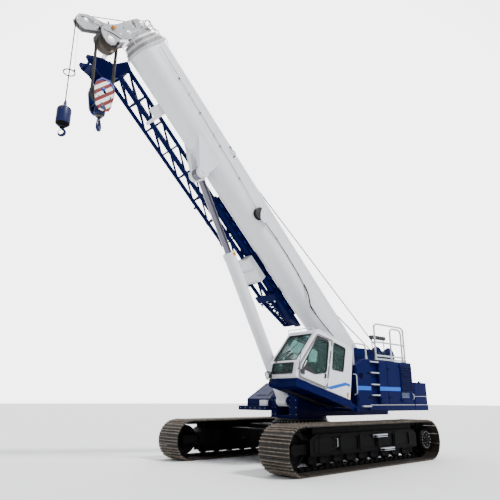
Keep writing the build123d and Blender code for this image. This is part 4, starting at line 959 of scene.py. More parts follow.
# Cab: window frames, door trim, gutter, mirror, wiper, lamp, stripe and the room inside

cabLook = {
    "near": 1.5, "far": 0.56, "middle": 1.03, "roof": 1.542,
    "door": ((1.355, 0.19), (2.4, 0.19), (2.44, 0.48), (1.96, 1.4), (1.355, 1.43)),
    "doorWindow": ((1.44, 0.56), (1.85, 0.42), (2.3, 0.56), (1.92, 1.31), (1.49, 1.35)),
    "doorBorder": ((1.425, 0.56), (1.86, 0.395), (2.375, 0.41), (1.935, 1.385), (1.47, 1.385)),
    "quarter": ((0.79, 0.78), (1.23, 0.72), (1.29, 1.4), (0.8, 1.4)),
    "rightWindow": ((0.8, 0.6), (2.25, 0.56), (1.85, 1.4), (0.8, 1.4)),
    "windscreen": ((2.53, 0.52), (2.04, 1.45)), "lowerPane": ((2.53, 0.22), (2.53, 0.52)),
}


def grown(outline, amount):
    # moves every edge of a convex flat outline outward
    count = len(outline)
    centre = Vector((sum(p[0] for p in outline) / count, sum(p[1] for p in outline) / count))
    lines = []
    for i in range(count):
        a, b = Vector(outline[i]), Vector(outline[(i + 1) % count])
        out = Vector((b.y - a.y, a.x - b.x)).normalized()
        if out.dot((a + b) / 2 - centre) < 0:
            out = -out
        lines.append((a + out * amount, b - a))
    result = []
    for i in range(count):
        (p, u), (q, v) = lines[i - 1], lines[i]
        cross = u.x * v.y - u.y * v.x
        t = ((q.x - p.x) * v.y - (q.y - p.y) * v.x) / cross
        result.append(tuple(p + u * t))
    return result


def ringStrip(place, outline, radius, inward, outward, yLow, yHigh, material=0):
    inner = roundedPolygon(grown(outline, -inward), radius)
    outer = roundedPolygon(grown(outline, outward), radius)
    frameStrip(place, outer, inner, yLow, yHigh, material)


def onPane(low, high):
    # places on a sloped pane between two points of the cab's side: across the cab, out of the pane, up along it
    start = Vector(low)
    run = (Vector(high) - start).normalized()
    out = Vector((run.y, -run.x))

    def place(y, lift, along):
        spot = start + run * along + out * lift
        return onCab(spot.x, y, spot.y)
    return place


def makeCabShell():
    look = cabLook
    near, far = look["near"], look["far"]
    ringStrip(onCab, look["quarter"], 0.07, 0.012, 0.02, near - 0.02, near + 0.007)
    ringStrip(onCab, look["rightWindow"], 0.07, 0.012, 0.02, far - 0.007, far + 0.02)
    # seal that the door closes on, seen as a dark line round it
    ringStrip(onCab, look["door"], 0.05, -0.002, 0.02, near - 0.004, near + 0.006)
    # windscreen, lower window and roof window: frames laid on the sloped faces
    for pane, gap, low, high in ((look["windscreen"], 0.075, 0.07, 0.07), (look["lowerPane"], 0.11, 0.02, 0.01)):
        length = (Vector(pane[1]) - Vector(pane[0])).length
        outline = ((far + gap, low), (near - gap, low), (near - gap, length - high), (far + gap, length - high))
        ringStrip(onPane(*pane), outline, 0.05, 0.024, 0.006, -0.015, 0.007)
    roofFrame = ((1.05, far + 0.15), (1.85, far + 0.15), (1.85, near - 0.15), (1.05, near - 0.15))

    def onRoof(a, t, b):
        return onCab(a, b, look["roof"] + t)
    frameStrip(onRoof, roundedPolygon(grown(roofFrame, 0.022), 0.05), roundedPolygon(grown(roofFrame, -0.012), 0.05),
               -0.012, 0.012)
    # rubber buffers and mounts under the floor
    for a in (0.55, 1.4, 2.25):
        for y in (0.66, 1.38):
            lathe(onCab(a, y, 0.138), -cabUp, ((0, 0.045), (0.012, 0.045), (0.014, 0.03), (0.03, 0.03)), 16)
    makePiece("cabSeals", (blackRubber,), "cab", bevel=0.002)

    # roof gutter, visor hoop with its stays, front lip, rear cover and sill
    for y, out in ((near, 1), (far, -1)):
        edge = ((0.5, 1.462), (0.61, 1.55), (1.935, 1.55), (2.045, 1.455))
        pipe([onCab(a, y + out * 0.004, b) for a, b in edge], 0.011, 0.05, 8)
    hoop = points(onCab, (2.03, far + 0.03, 1.452), (2.12, far + 0.03, 1.53), (2.12, near - 0.03, 1.53),
                  (2.03, near - 0.03, 1.452))
    pipe(hoop, 0.012, 0.06, 8)
    for y in (0.8, 1.03, 1.26):
        pipe(points(onCab, (2.02, y, 1.465), (2.12, y, 1.53)), 0.007, 0, 6)
    slab(onCab, (2.531, 2.538), (far + 0.1, near - 0.1), (0.17, 0.205))
    slab(onCab, (0.4, 0.425), (far + 0.08, near - 0.08), (0.2, 0.9))
    ledge = roundedPolygon(((0.46, 0.19), (1.3, 0.19), (1.3, 0.205), (0.46, 0.205)), 0.004, 2)
    prism(onCab, ledge, near - 0.001, near + 0.006)
    makePiece("cabGutter", (whitePaint,), "cab", bevel=0.002)

    stripe = roundedPolygon(((1.335, 0.205), (1.335, 0.232), (0.66, 0.535), (0.452, 0.545), (0.452, 0.468),
                             (0.6, 0.471), (1.2, 0.205)), 0.01, 2)
    prism(onCab, stripe, near - 0.001, near + 0.0025)
    makePiece("cabStripe", (skyPaint,), "cab")
    marker = roundedPolygon(((0.47, 0.19), (0.525, 0.185), (0.54, 0.3), (0.486, 0.315)), 0.012, 3)
    prism(onCab, marker, near - 0.001, near + 0.014)
    makePiece("cabMarkerLamp", (amberLens,), "cab", bevel=0.004)
    print("cab seals and gutter")


def makeCabFront():
    near = cabLook["near"]
    # wiper, then the mirror on its arm
    onScreen = onPane(*cabLook["windscreen"])
    screenOut = onScreen(0, 1, 0) - onScreen(0, 0, 0)
    lathe(onScreen(0.77, 0, 0.03), screenOut, ((0, 0.03), (0.02, 0.03), (0.035, 0.02)), 16)
    pipe(points(onScreen, (0.77, 0.035, 0.03), (0.8, 0.05, 0.1), (1.03, 0.04, 0.36)), 0.008, 0.05, 8)
    pipe(points(onScreen, (0.9, 0.018, 0.08), (1.16, 0.018, 0.66)), 0.007, 0, 6)
    slab(onScreen, (0.985, 1.075), (0.014, 0.034), (0.35, 0.37))
    # buffers of the lower window
    for y in (0.78, 1.22):
        lathe(onCab(2.528, y, 0.33), cabAhead, ((0, 0.022), (0.016, 0.022), (0.024, 0.014)), 14)
    arm = points(onCab, (2.44, near - 0.02, 0.36), (2.5, near + 0.045, 0.36), (2.5, near + 0.05, 0.8),
                 (2.44, near + 0.02, 0.86))
    pipe(arm, 0.01, 0.05, 8)
    glassPlate = roundedPolygon(((2.24, 0.29), (2.36, 0.275), (2.395, 0.39), (2.27, 0.425)), 0.02)
    prism(onCab, glassPlate, near + 0.016, near + 0.034)
    makePiece("cabWiper", (blackPlastic,), "cab", bevel=0.0015)

    # lamp in its bracket
    lamp = onMachine(1.93, 0.72, 2.12)
    ahead = Vector((0.94, -0.2, -0.28)).normalized()
    bowl = ((0, 0.03), (0.01, 0.06), (0.04, 0.082), (0.085, 0.092), (0.12, 0.092), (0.122, 0.078), (0.108, 0.074))
    lathe(lamp - ahead * 0.06, ahead, bowl, 32)
    lathe(lamp + ahead * 0.048, ahead, ((0, 0.074), (0.004, 0.076), (0.012, 0.05), (0.016, 0.02)), 28, 1)
    yoke = ((0, 0.092, 0), (-0.02, 0.098, -0.115), (-0.02, -0.098, -0.115), (0, -0.092, 0))
    pipe([lamp + Vector(spot) for spot in yoke], 0.01, 0.04, 8, 2)
    foot = onCab(2.53, 0.72, 0.3)
    stay = ((lamp, (-0.02, 0, -0.115)), (lamp, (-0.05, 0, -0.17)), (foot, (0.05, 0, 0.02)), (foot, (-0.02, 0, 0)))
    pipe([start + Vector(spot) for start, spot in stay], 0.014, 0.04, 8, 2)
    pipe([foot - Vector((0.03, 0, 0)), lamp - Vector((0.08, 0, 0))], 0.008, 0, 8, 2)
    makePiece("cabLamp", (blackPlastic, lampLens, blackPlastic), "cab", bevel=0.002)
    print("cab front")


def makeDoorTrim():
    look = cabLook
    near = look["near"]
    # wide border that carries the window's outer line further forward than the glass
    inner = roundedPolygon(grown(look["doorWindow"], -0.012), 0.08)
    frameStrip(onCab, roundedPolygon(look["doorBorder"], 0.08), inner, near - 0.022, near + 0.008)
    ringStrip(onCab, look["door"], 0.05, 0.034, -0.014, near - 0.001, near + 0.005)
    grip = points(onCab, (2.3, near + 0.006, 0.46), (2.325, near + 0.045, 0.47), (2.255, near + 0.045, 0.62),
                  (2.225, near + 0.006, 0.63))
    plateOutline = roundedOutline(0.05, 0.13, 0.015, 4, (1.475, 0.47))
    prism(onCab, plateOutline, near - 0.001, near + 0.009)
    pipe(points(onCab, (1.475, near + 0.004, 0.425), (1.475, near + 0.04, 0.43), (1.475, near + 0.04, 0.51),
                (1.475, near + 0.004, 0.515)), 0.008, 0.015, 8)
    makePiece("doorSeal", (blackRubber,), "cab_door", bevel=0.002)
    pipe(grip, 0.01, 0.02, 8)
    press = ((1.46, 0.26), (2.33, 0.26), (2.37, 0.4), (2.25, 0.5), (1.86, 0.37), (1.46, 0.5))
    floor = [(1.48 + (a - 1.46) * 0.97, 0.27 + (b - 0.26) * 0.88) for a, b in press]
    frameStrip(onCab, roundedPolygon(press, 0.04), roundedPolygon(floor, 0.04), near - 0.001, near + 0.004)
    for b in (0.32, 0.78, 1.24):
        slab(onCab, (1.372, 1.43), (near - 0.001, near + 0.009), (b - 0.035, b + 0.035))
    makePiece("doorPressing", (whitePaint,), "cab_door", bevel=0.002)
    print("door trim")


def cushion(name, centre, size, crown, steps, degrees):
    # a box with many faces, rounded at its edges and bulged away from its middle planes
    turn = Matrix.Rotation(math.radians(degrees), 3, "Y")

    def shape(key):
        a, b, c = (2 * index / steps - 1 for index in key)
        soft = (a ** 6 + b ** 6 + c ** 6) ** (1 / 6)
        a, b, c = a / soft, b / soft, c / soft
        bulge = crown * (1 - a * a) * (1 - b * b) * (1 if c > 0 else -0.3)
        seam = -0.006 * math.exp(-((abs(b) - 0.62) / 0.05) ** 2) * (1 if c > 0.5 else 0)
        local = turn @ Vector((a * size[0] / 2, b * size[1] / 2, c * size[2] / 2 + bulge + seam))
        return onCab(*(Vector(centre) + local))
    grid = {}
    for axis in range(3):
        for end in (0, steps):
            for p in range(steps):
                for q in range(steps):
                    corners = []
                    for dp, dq in ((0, 0), (1, 0), (1, 1), (0, 1)):
                        key = [0, 0, 0]
                        key[axis], key[(axis + 1) % 3], key[(axis + 2) % 3] = end, p + dp, q + dq
                        if tuple(key) not in grid:
                            grid[tuple(key)] = bench["mesh"].verts.new(shape(key))
                        corners.append(grid[tuple(key)])
                    addFace(corners)
    makePiece(name, (seatCloth,), "cab", smooth=80)


def makeCabRoom():
    # the operator's seat, its consoles with levers, pedals and the instrument panel
    y = cabLook["middle"]
    # seat base, slides and bellows
    slab(onCab, (0.8, 1.28), (y - 0.2, y + 0.2), (0.201, 0.26))
    for k in range(5):
        outline = roundedOutline(0.4 - 0.02 * (k % 2), 0.36 - 0.02 * (k % 2), 0.05, 4, (1.04, y))
        prism(lambda a, t, b: onCab(a, b, t), outline, 0.262 + k * 0.034, 0.294 + k * 0.034, 1)
    slab(onCab, (0.8, 1.3), (y - 0.22, y + 0.22), (0.432, 0.47))
    shellOutline = roundedPolygon(((0.7, 0.46), (0.8, 0.46), (0.72, 1.18), (0.64, 1.18)), 0.03)
    prism(onCab, shellOutline, y - 0.22, y + 0.22)
    # consoles, armrests and levers
    for side in (-1, 1):
        yLow, yHigh = sorted((y + side * 0.265, y + side * 0.385))
        box = roundedPolygon(((0.86, 0.201), (1.42, 0.201), (1.5, 0.66), (1.34, 0.72), (0.86, 0.69)), 0.04)
        prism(onCab, box, yLow, yHigh)
        rest = roundedPolygon(((0.86, 0.72), (1.26, 0.75), (1.26, 0.8), (0.86, 0.78)), 0.02)
        prism(onCab, rest, yLow + 0.01, yHigh - 0.01, 1)
        pipe(points(onCab, (1.4, y + side * 0.325, 0.7), (1.42, y + side * 0.325, 0.8)), 0.018, 0, 10, 1)
        knob = ((0, 0.016), (0.03, 0.024), (0.09, 0.027), (0.12, 0.02), (0.125, 0.008))
        lathe(onCab(1.42, y + side * 0.325, 0.79), cabUp, knob, 16)
        button = ((0, 0.01), (0.012, 0.01), (0.015, 0.006))
        for k in range(3):
            lathe(onCab(1.24 + 0.05 * k, y + side * 0.34, 0.715), cabUp, button, 10, 2)
    # front panel, travel levers with their pedals, screen, floor mat and rear boxes
    dash = roundedPolygon(((2.17, 0.201), (2.36, 0.201), (2.38, 0.52), (2.28, 0.66), (2.12, 0.6)), 0.03)
    prism(onCab, dash, 0.88, 1.18)
    for yLever in (0.95, 1.11):
        pipe(points(onCab, (2.08, yLever, 0.205), (2.06, yLever, 0.55), (2.0, yLever, 0.72)), 0.01, 0.08, 8, 2)
        lathe(onCab(2.0, yLever, 0.71), cabUp, ((0, 0.012), (0.02, 0.022), (0.07, 0.022), (0.085, 0.01)), 12)
        slab(onCab, (1.98, 2.1), (yLever - 0.045, yLever + 0.045), (0.202, 0.222), 1)
    screen = roundedPolygon(((2.19, 0.7), (2.21, 0.7), (2.15, 0.9), (2.13, 0.9)), 0.008)
    prism(onCab, screen, 0.72, 0.98)
    pipe(points(onCab, (2.2, 0.85, 0.6), (2.18, 0.85, 0.74)), 0.012, 0, 8)
    mat = roundedOutline(1.6, 0.76, 0.06, 4, (1.5, 1.03))
    prism(lambda a, t, b: onCab(a, b, 0.2 + t), mat, 0.0005, 0.006, 1)
    for yLow in (0.7, 1.08):
        slab(onCab, (0.5, 0.62), (yLow, yLow + 0.28), (0.3, 0.75))
    makePiece("cabControls", (blackPlastic, blackRubber, boltSteel), "cab", ("cab_interior",), bevel=0.003)
    # seat cushions, belt
    cushion("seatCushion", (1.05, y, 0.535), (0.5, 0.5, 0.13), 0.028, 18, 4)
    cushion("seatBack", (0.8, y, 0.86), (0.6, 0.48, 0.13), 0.028, 18, 96)
    cushion("seatHeadrest", (0.745, y, 1.255), (0.17, 0.28, 0.09), 0.014, 10, 96)
    belt = points(onCab, (0.93, y + 0.245, 0.5), (1.02, y + 0.16, 0.635), (1.06, y, 0.65), (1.02, y - 0.16, 0.635),
                  (0.93, y - 0.245, 0.5))
    webbing = ((-0.024, 0), (0.024, 0), (0.024, 0.004), (-0.024, 0.004))
    skin([[p + cabAhead * a + cabUp * b for a, b in webbing] for p in bendPath(belt, 0.12, 6)])
    slab(onCab, (1.03, 1.09), (y - 0.03, y + 0.03), (0.652, 0.67))
    makePiece("seatBelt", (beltWebbing,), "cab", bevel=0.001)
    print("cab room")


def makePlatform():
    # tread plate, edge lip, hoses and the pin bosses of the tipping frame
    lip = roundedPolygon(((0.32, 0.141), (2.46, 0.141), (2.46, 0.155), (0.32, 0.155)), 0.004, 2)
    prism(onCab, lip, 1.503, 1.512)
    for y in (0.6, 1.44):
        lathe(onCab(0, y - 0.045, 0), left, ((0, 0.055), (0.01, 0.062), (0.08, 0.062), (0.09, 0.055)))
    for a in (0.6, 1.0, 1.4, 1.8, 2.2):
        slab(onCab, (a - 0.012, a + 0.012), (0.66, 1.4), (-0.052, -0.039))
    makePiece("platformTrim", (navyPaint,), "cab", bevel=0.003)
    for y, r in ((0.8, 0.016), (0.86, 0.02), (0.93, 0.014)):
        hose = points(onCab, (0.15, y, 0.02), (0.5, y, -0.056), (1.1, y, -0.062), (1.7, y, -0.058), (2.2, y, -0.05))
        pipe(hose, r, 0.2)
    makePiece("platformHoses", (blackRubber,), "cab")
    print("cab platform")


makeCabShell()
makeCabFront()
makeDoorTrim()
makeCabRoom()
makePlatform()


# Boom: wear pads and bolts on the collars; seams, fittings, reel, cables and rope guides of the base section

boomLook = {
    "collarFront": 11.06, "collarPitch": 0.075, "lip": 0.045,
    "width": 0.75, "widthStep": 0.06, "height": 0.95, "heightStep": 0.06, "corner": 0.08,
    "reel": (5.9, -0.115), "reelSpan": (0.375, 0.495),
    "pins": (3.1, 5.8, 7.4, 8.54, 9.9),
}


def boomOutline(width, height, corner, steps=5):
    # flat sides, small top corners, deep round underside; (y, n)
    low = 0.47 * width
    half = []
    for k in range(steps + 1):
        a = math.pi / 2 * k / steps
        half.append((width / 2 - corner + corner * math.sin(a), height / 2 - corner + corner * math.cos(a)))
    for k in range(2 * steps + 1):
        a = math.pi / 2 * k / (2 * steps)
        half.append((width / 2 - low + low * math.cos(a), -height / 2 + low - low * math.sin(a)))
    return half + [(-y, n) for y, n in reversed(half)]


def onSection(a, t, b):
    # outline (y, n) pushed along the boom
    return onBoom(t, a, b)


def makeCollars():
    look = boomLook
    for k in range(4):
        width = look["width"] - look["widthStep"] * k
        height = look["height"] - look["heightStep"] * k
        front = look["collarFront"] + look["collarPitch"] * k
        lip = look["lip"]
        ring = boomOutline(width + 2 * lip + 0.012, height + 2 * lip + 0.012, look["corner"] + lip)
        inner = boomOutline(width + 2 * lip - 0.01, height + 2 * lip - 0.01, look["corner"] + lip - 0.005)
        frameStrip(onSection, ring, inner, front - 0.058, front - 0.046, 1)
        frameStrip(onSection, ring, inner, front - 0.02, front - 0.01, 1)
        if k in (1, 3):
            # two collars in the greyer white paint: its dark tone is painted shade, with some grime
            sleeve = boomOutline(width + 2 * lip + 0.004, height + 2 * lip + 0.004, look["corner"] + lip)
            mouth = boomOutline(width - 0.046, height - 0.046, look["corner"] - 0.02)
            frameStrip(onSection, sleeve, mouth, front - 0.07, front + 0.0015, 3)
        # wear pads, shim bolts on top and sides
        for y in (-width * 0.28, width * 0.28):
            slab(onBoom, (front - 0.004, front + 0.003), (y - 0.06, y + 0.06),
                 (height / 2 - 0.01, height / 2 + lip - 0.008), 1)
            for a in (-0.035, 0.035):
                hexHead(onBoom(front - 0.033, y + a, height / 2 + lip + 0.004), boomUp, 0.01, 0.01, 2)
        for side in (-1, 1):
            for n in (-0.18, 0.0, 0.18):
                hexHead(onBoom(front - 0.033, side * (width / 2 + lip + 0.004), n + 0.05), side * left, 0.01, 0.01, 2)
        makePiece("collarTrim_%d" % (k + 1), (whitePaint, collarSteel, boltSteel, weatheredAndShadedWhite),
                  "boom_section_%d" % (k + 1), bevel=0.0015)
    print("collars")


def makeBoomBase():
    # welded seams, stiffeners, lugs on the top
    look = boomLook
    for n in (0.33, -0.06):
        for side in (-1, 1):
            y = side * 0.3755
            slab(onBoom, (1.35, 10.95), (y - side * 0.003, y + side * 0.0035), (n - 0.005, n + 0.005))
    for along in (1.9, 4.05, 6.15, 8.25, 10.2):
        ring = boomOutline(look["width"] + 0.016, look["height"] + 0.016, 0.085)
        inner = boomOutline(look["width"] - 0.004, look["height"] - 0.004, look["corner"])
        frameStrip(onSection, ring, inner, along - 0.006, along + 0.006)
    for along in (2.35, 9.2):
        for y in (-0.2, 0.2):
            lug = ((-0.06, 0.473), (0.06, 0.473), (0.06, 0.52), (0.02, 0.575), (-0.02, 0.575), (-0.06, 0.52))
            prism(onBoom, roundedPolygon([(along + a, b) for a, b in lug], 0.015), y - 0.009, y + 0.009)
    # small white pegs along the left side
    for along, n in ((9.55, 0.12), (8.35, 0.1)):
        pipe(points(onBoom, (along, 0.374, n), (along, 0.44, n), (along, 0.445, n + 0.075)), 0.012, 0.02, 8)
    # clamps of the electric cable
    for along, n in ((3.75, -0.05), (4.4, -0.02), (5.0, 0.0)):
        slab(onBoom, (along - 0.018, along + 0.018), (0.374, 0.392), (n - 0.03, n + 0.03), 1)
    # white side bracket that carries the stowed jib, laid over the small plate
    for a0, a1 in ((4.36, 4.94), (3.38, 3.62)):
        plate = ((a0, -0.21), (a1, -0.21), (a1, 0.02), (a1 - 0.08, 0.135), (a0 + 0.08, 0.135), (a0, 0.02))
        prism(onBoom, roundedPolygon(plate, 0.03), -0.412, -0.404)
    makePiece("boomSeams", (whitePaint, boltSteel), "boom_section_1", bevel=0.0015)
    # squiggle of hose between two fittings near the top edge
    path = points(onBoom, (7.55, 0.378, 0.3), (7.55, 0.42, 0.31), (7.63, 0.43, 0.4), (7.74, 0.43, 0.32),
                  (7.82, 0.42, 0.38), (7.82, 0.378, 0.38))
    pipe(path, 0.01, 0.05, 8)
    for along, n in ((7.55, 0.3), (7.82, 0.38)):
        lathe(onBoom(along, 0.374, n), left, ((0, 0.022), (0.02, 0.022), (0.024, 0.014), (0.04, 0.014)), 12)
    makePiece("boomHose", (blackRubber,), "boom_section_1")
    print("boom base")


def makeReel():
    look = boomLook
    along, n = look["reel"]
    low, high = look["reelSpan"]
    cheek = ((0, 0.165), (0.006, 0.174), (0.012, 0.174), (0.016, 0.165))
    spool = ((0, 0.03), *cheek, (0.018, 0.115), (0.1, 0.115), *((0.102 + d, r) for d, r in cheek), (0.12, 0.07),
             (0.135, 0.065), (0.138, 0.02))
    lathe(onBoom(along, low - 0.004, n), left, spool, 40)
    for spot in circle(onBoom(along, low + 0.118, n), boomAhead, boomUp, 0.12, 8):
        lathe(spot, left, ((-0.004, 0.026), (0.002, 0.026), (0.003, 0.018)), 12, 1)
    # cable wound on the hub
    for k in range(9):
        lathe(onBoom(along, low + 0.02 + k * 0.0094, n), left,
              ((0, 0.128), (0.002, 0.132), (0.0047, 0.134), (0.0074, 0.132), (0.0094, 0.128)), 32, 1)
    makePiece("cableReel", (blackPlastic, blackRubber), "boom_section_1")
    # white bracket over the reel's upper and lower sides, bent round to the boom
    arm = roundedPolygon(((along + 0.02, n - 0.02), (along + 0.1, n + 0.17), (along - 0.02, n + 0.3),
                          (along - 0.33, n + 0.13), (along - 0.27, n - 0.12), (along - 0.1, n - 0.14)), 0.04)
    prism(onBoom, arm, high + 0.018, high + 0.028)
    for a, b in ((along + 0.04, n + 0.235), (along - 0.3, n + 0.02)):
        slab(onBoom, (a - 0.035, a + 0.035), (low - 0.006, high + 0.02), (b - 0.012, b + 0.012))
    for a, b in ((-0.02, 0.08), (-0.16, 0.12), (-0.12, -0.02)):
        hexHead(onBoom(along + a, high + 0.027, n + b), left, 0.012, 0.01, 1)
    makePiece("reelBracket", (whitePaint, boltSteel), "boom_section_1", bevel=0.0015)
    # cable from the reel down to the boom's foot, and the thin one up to the head
    run = points(onBoom, (along - 0.13, 0.43, -0.13), (5.2, 0.405, -0.05), (4.55, 0.392, -0.02), (4.1, 0.392, -0.04),
                 (3.75, 0.392, -0.055), (3.3, 0.4, -0.12), (3.05, 0.42, -0.22))
    pipe(run, 0.011, 0.15, 8)
    run = points(onBoom, (3.1, 0.425, -0.2), (2.8, 0.392, -0.36), (2.2, 0.39, -0.31), (1.7, 0.39, -0.24),
                 (1.5, 0.388, -0.2), (1.44, 0.366, -0.19))
    pipe(run, 0.0145, 0.06, 8)
    pipe(points(onBoom, (3.42, 0.4, -0.09), (3.2, 0.412, -0.15), (3.06, 0.424, -0.22), (2.84, 0.398, -0.34),
                (2.5, 0.396, -0.345)), 0.021, 0.05)
    tip = points(onBoom, (along + 0.13, 0.43, -0.1), (7.0, 0.398, 0.02), (9.0, 0.394, 0.1), (10.9, 0.44, 0.12))
    pipe(tip, 0.006, 0.2, 6)
    for along in (7.0, 8.0, 9.0, 10.0):
        lathe(onBoom(along - 0.02, 0.398, 0.02 + (along - 7.0) * 0.034), boomAhead,
              ((0, 0.012), (0.004, 0.02), (0.036, 0.02), (0.04, 0.012)), 12)
    makePiece("boomCable", (blackRubber,), "boom_section_1")
    print("cable reel")


def makeRopeGuides():
    # rollers in the frames that hold the hoist rope above the boom
    for along in boomLook["pins"]:
        for y in (-0.128, 0.128):
            lathe(onBoom(along, y * 0.92, 0.5), boomUp, ((0, 0.012), (0.004, 0.016), (0.096, 0.016), (0.1, 0.012)),
                  12, 1)
        lathe(onBoom(along, -0.11, 0.512), left, ((0, 0.014), (0.01, 0.028), (0.21, 0.028), (0.22, 0.014)), 16, 1)
        for y in (-0.145, 0.145):
            slab(onBoom, (along - 0.04, along + 0.04), (y - 0.012, y + 0.012), (0.474, 0.482))
            hexHead(onBoom(along, y, 0.481), boomUp, 0.01, 0.009, 1)
    makePiece("ropeGuides", (blackPlastic, sheaveSteel), "boom_section_1", bevel=0.001)
    print("rope guides")


makeCollars()
makeBoomBase()
makeReel()
makeRopeGuides()


# Lift cylinder: gland, weld beads, ports, valve, marker, caps of its pins

barrelLength = 4.26
cylinderFoot = onMachine(0.66, 0, 1.5)


def makeLift():
    back = (rodPin - cylinderFoot).length - barrelLength

    def ringAt(t, profile, segments):
        lathe(onLift(back + t, 0, 0), -liftAhead, profile, segments)
    # gland: bolted ring, wiper, flats
    ringAt(-0.012, ((0, 0.1), (0, 0.15), (0.012, 0.158), (0.014, 0.18), (0.06, 0.184), (0.064, 0.179), (0.14, 0.179),
                    (0.146, 0.17), (0.165, 0.168)), 48)
    boltRing(onLift(back - 0.01, 0, 0), liftAhead, 0.13, 12, 0.011, 0.011, 1)
    for t in (0.55, 2.1, 3.75):
        ringAt(t, ((0, 0.16), (0.004, 0.169), (0.012, 0.169), (0.016, 0.16)), 40)
    # port bosses with their steel pipe on the upper side
    for t in (0.42, 3.55):
        lathe(onLift(back + t, 0, 0.15), liftUp, ((0, 0.036), (0.03, 0.036), (0.036, 0.026), (0.052, 0.026)), 16)
    pipe(points(onLift, (back + 0.42, 0, 0.2), (back + 0.55, 0, 0.215), (back + 3.5, 0, 0.215)), 0.014, 0.05)
    makePiece("barrelTrim", (whitePaint, boltSteel, blackPlastic), "lift_barrel", bevel=0.002)
    # valve block at the barrel's foot
    prism(onLift, roundedOutline(0.34, 0.13, 0.02, 4, (back + 3.72, 0.215)), -0.09, 0.09)
    for t in (3.62, 3.72, 3.82):
        lathe(onLift(back + t, 0.088, 0.215), left, ((0, 0.026), (0.02, 0.026), (0.024, 0.02), (0.05, 0.018)), 12, 1)
    makePiece("liftValve", (blackPlastic, boltSteel), "lift_barrel", bevel=0.003)
    lathe(onLift(back + 0.055, 0.178, 0.02), left, ((0, 0.05), (0.008, 0.05), (0.014, 0.04), (0.016, 0.01)))
    makePiece("glandMark", (amberLens,), "lift_barrel")
    for side in (-1, 1):
        lathe(onLift(0, side * 0.11, 0), side * left, ((0, 0.1), (0.0, 0.128), (0.003, 0.13), (0.004, 0.09)), 32)
    lathe(onLift(0.15, 0, 0), -liftAhead, ((0, 0.1), (0.01, 0.118), (0.05, 0.118), (0.06, 0.096)), 32)
    makePiece("rodEyeTrim", (whitePaint,), "lift_rod", bevel=0.002)
    print("lift cylinder")


def makePinCaps():
    # keeper plates of the pins in the boom's lugs and at the cylinder's foot
    for side in (-1, 1):
        cap, out = rodPin + left * side * 0.235, side * left
        lathe(cap, out, ((-0.001, 0.115), (0.01, 0.112), (0.012, 0.075), (0.026, 0.07), (0.028, 0.02)), 28)
        boltRing(cap + out * 0.009, out, 0.094, 6, 0.009, 0.008, 1)
    makePiece("skirtPinCaps", (whitePaint, boltSteel), "boom_section_1", bevel=0.002)
    # only on the right: the cab passes close by the left end of the pin
    cap = cylinderFoot - left * 0.445
    lathe(cap, -left, ((-0.001, 0.11), (0.014, 0.105), (0.016, 0.07), (0.03, 0.065), (0.032, 0.02)), 28)
    boltRing(cap - left * 0.013, -left, 0.088, 6, 0.01, 0.008, 1)
    makePiece("cylinderPinCaps", (navyPaint, boltSteel), "upper", bevel=0.002)
    print("pins")


makeLift()
makePinCaps()


# Boom head: sheaves with their pins and guards, caps and panels of its plates, rooster, lamp, box and ropes

headLook = {
    "sheave": (11.516, -0.973, 0.245, 0.044), "sheaveSides": (-0.056, 0.0, 0.056),
    "top": (11.6, 0.205, 0.15), "rooster": (12.157, -1.16, 0.19), "half": 0.23,
}


def grooved(radius, width):
    # rim of a rope sheave with its groove, web and hub
    w = width / 2
    half = ((w, 0.03), (w, 0.07), (w * 0.45, 0.075), (w * 0.45, radius - 0.055), (w, radius - 0.045),
            (w, radius - 0.004), (w * 0.8, radius), (w * 0.35, radius - 0.022))
    return [(-d, r) for d, r in half] + [(0, radius - 0.028), *reversed(half)]


def sheave(centre, radius, width):
    lathe(centre, left, grooved(radius, width), 48)


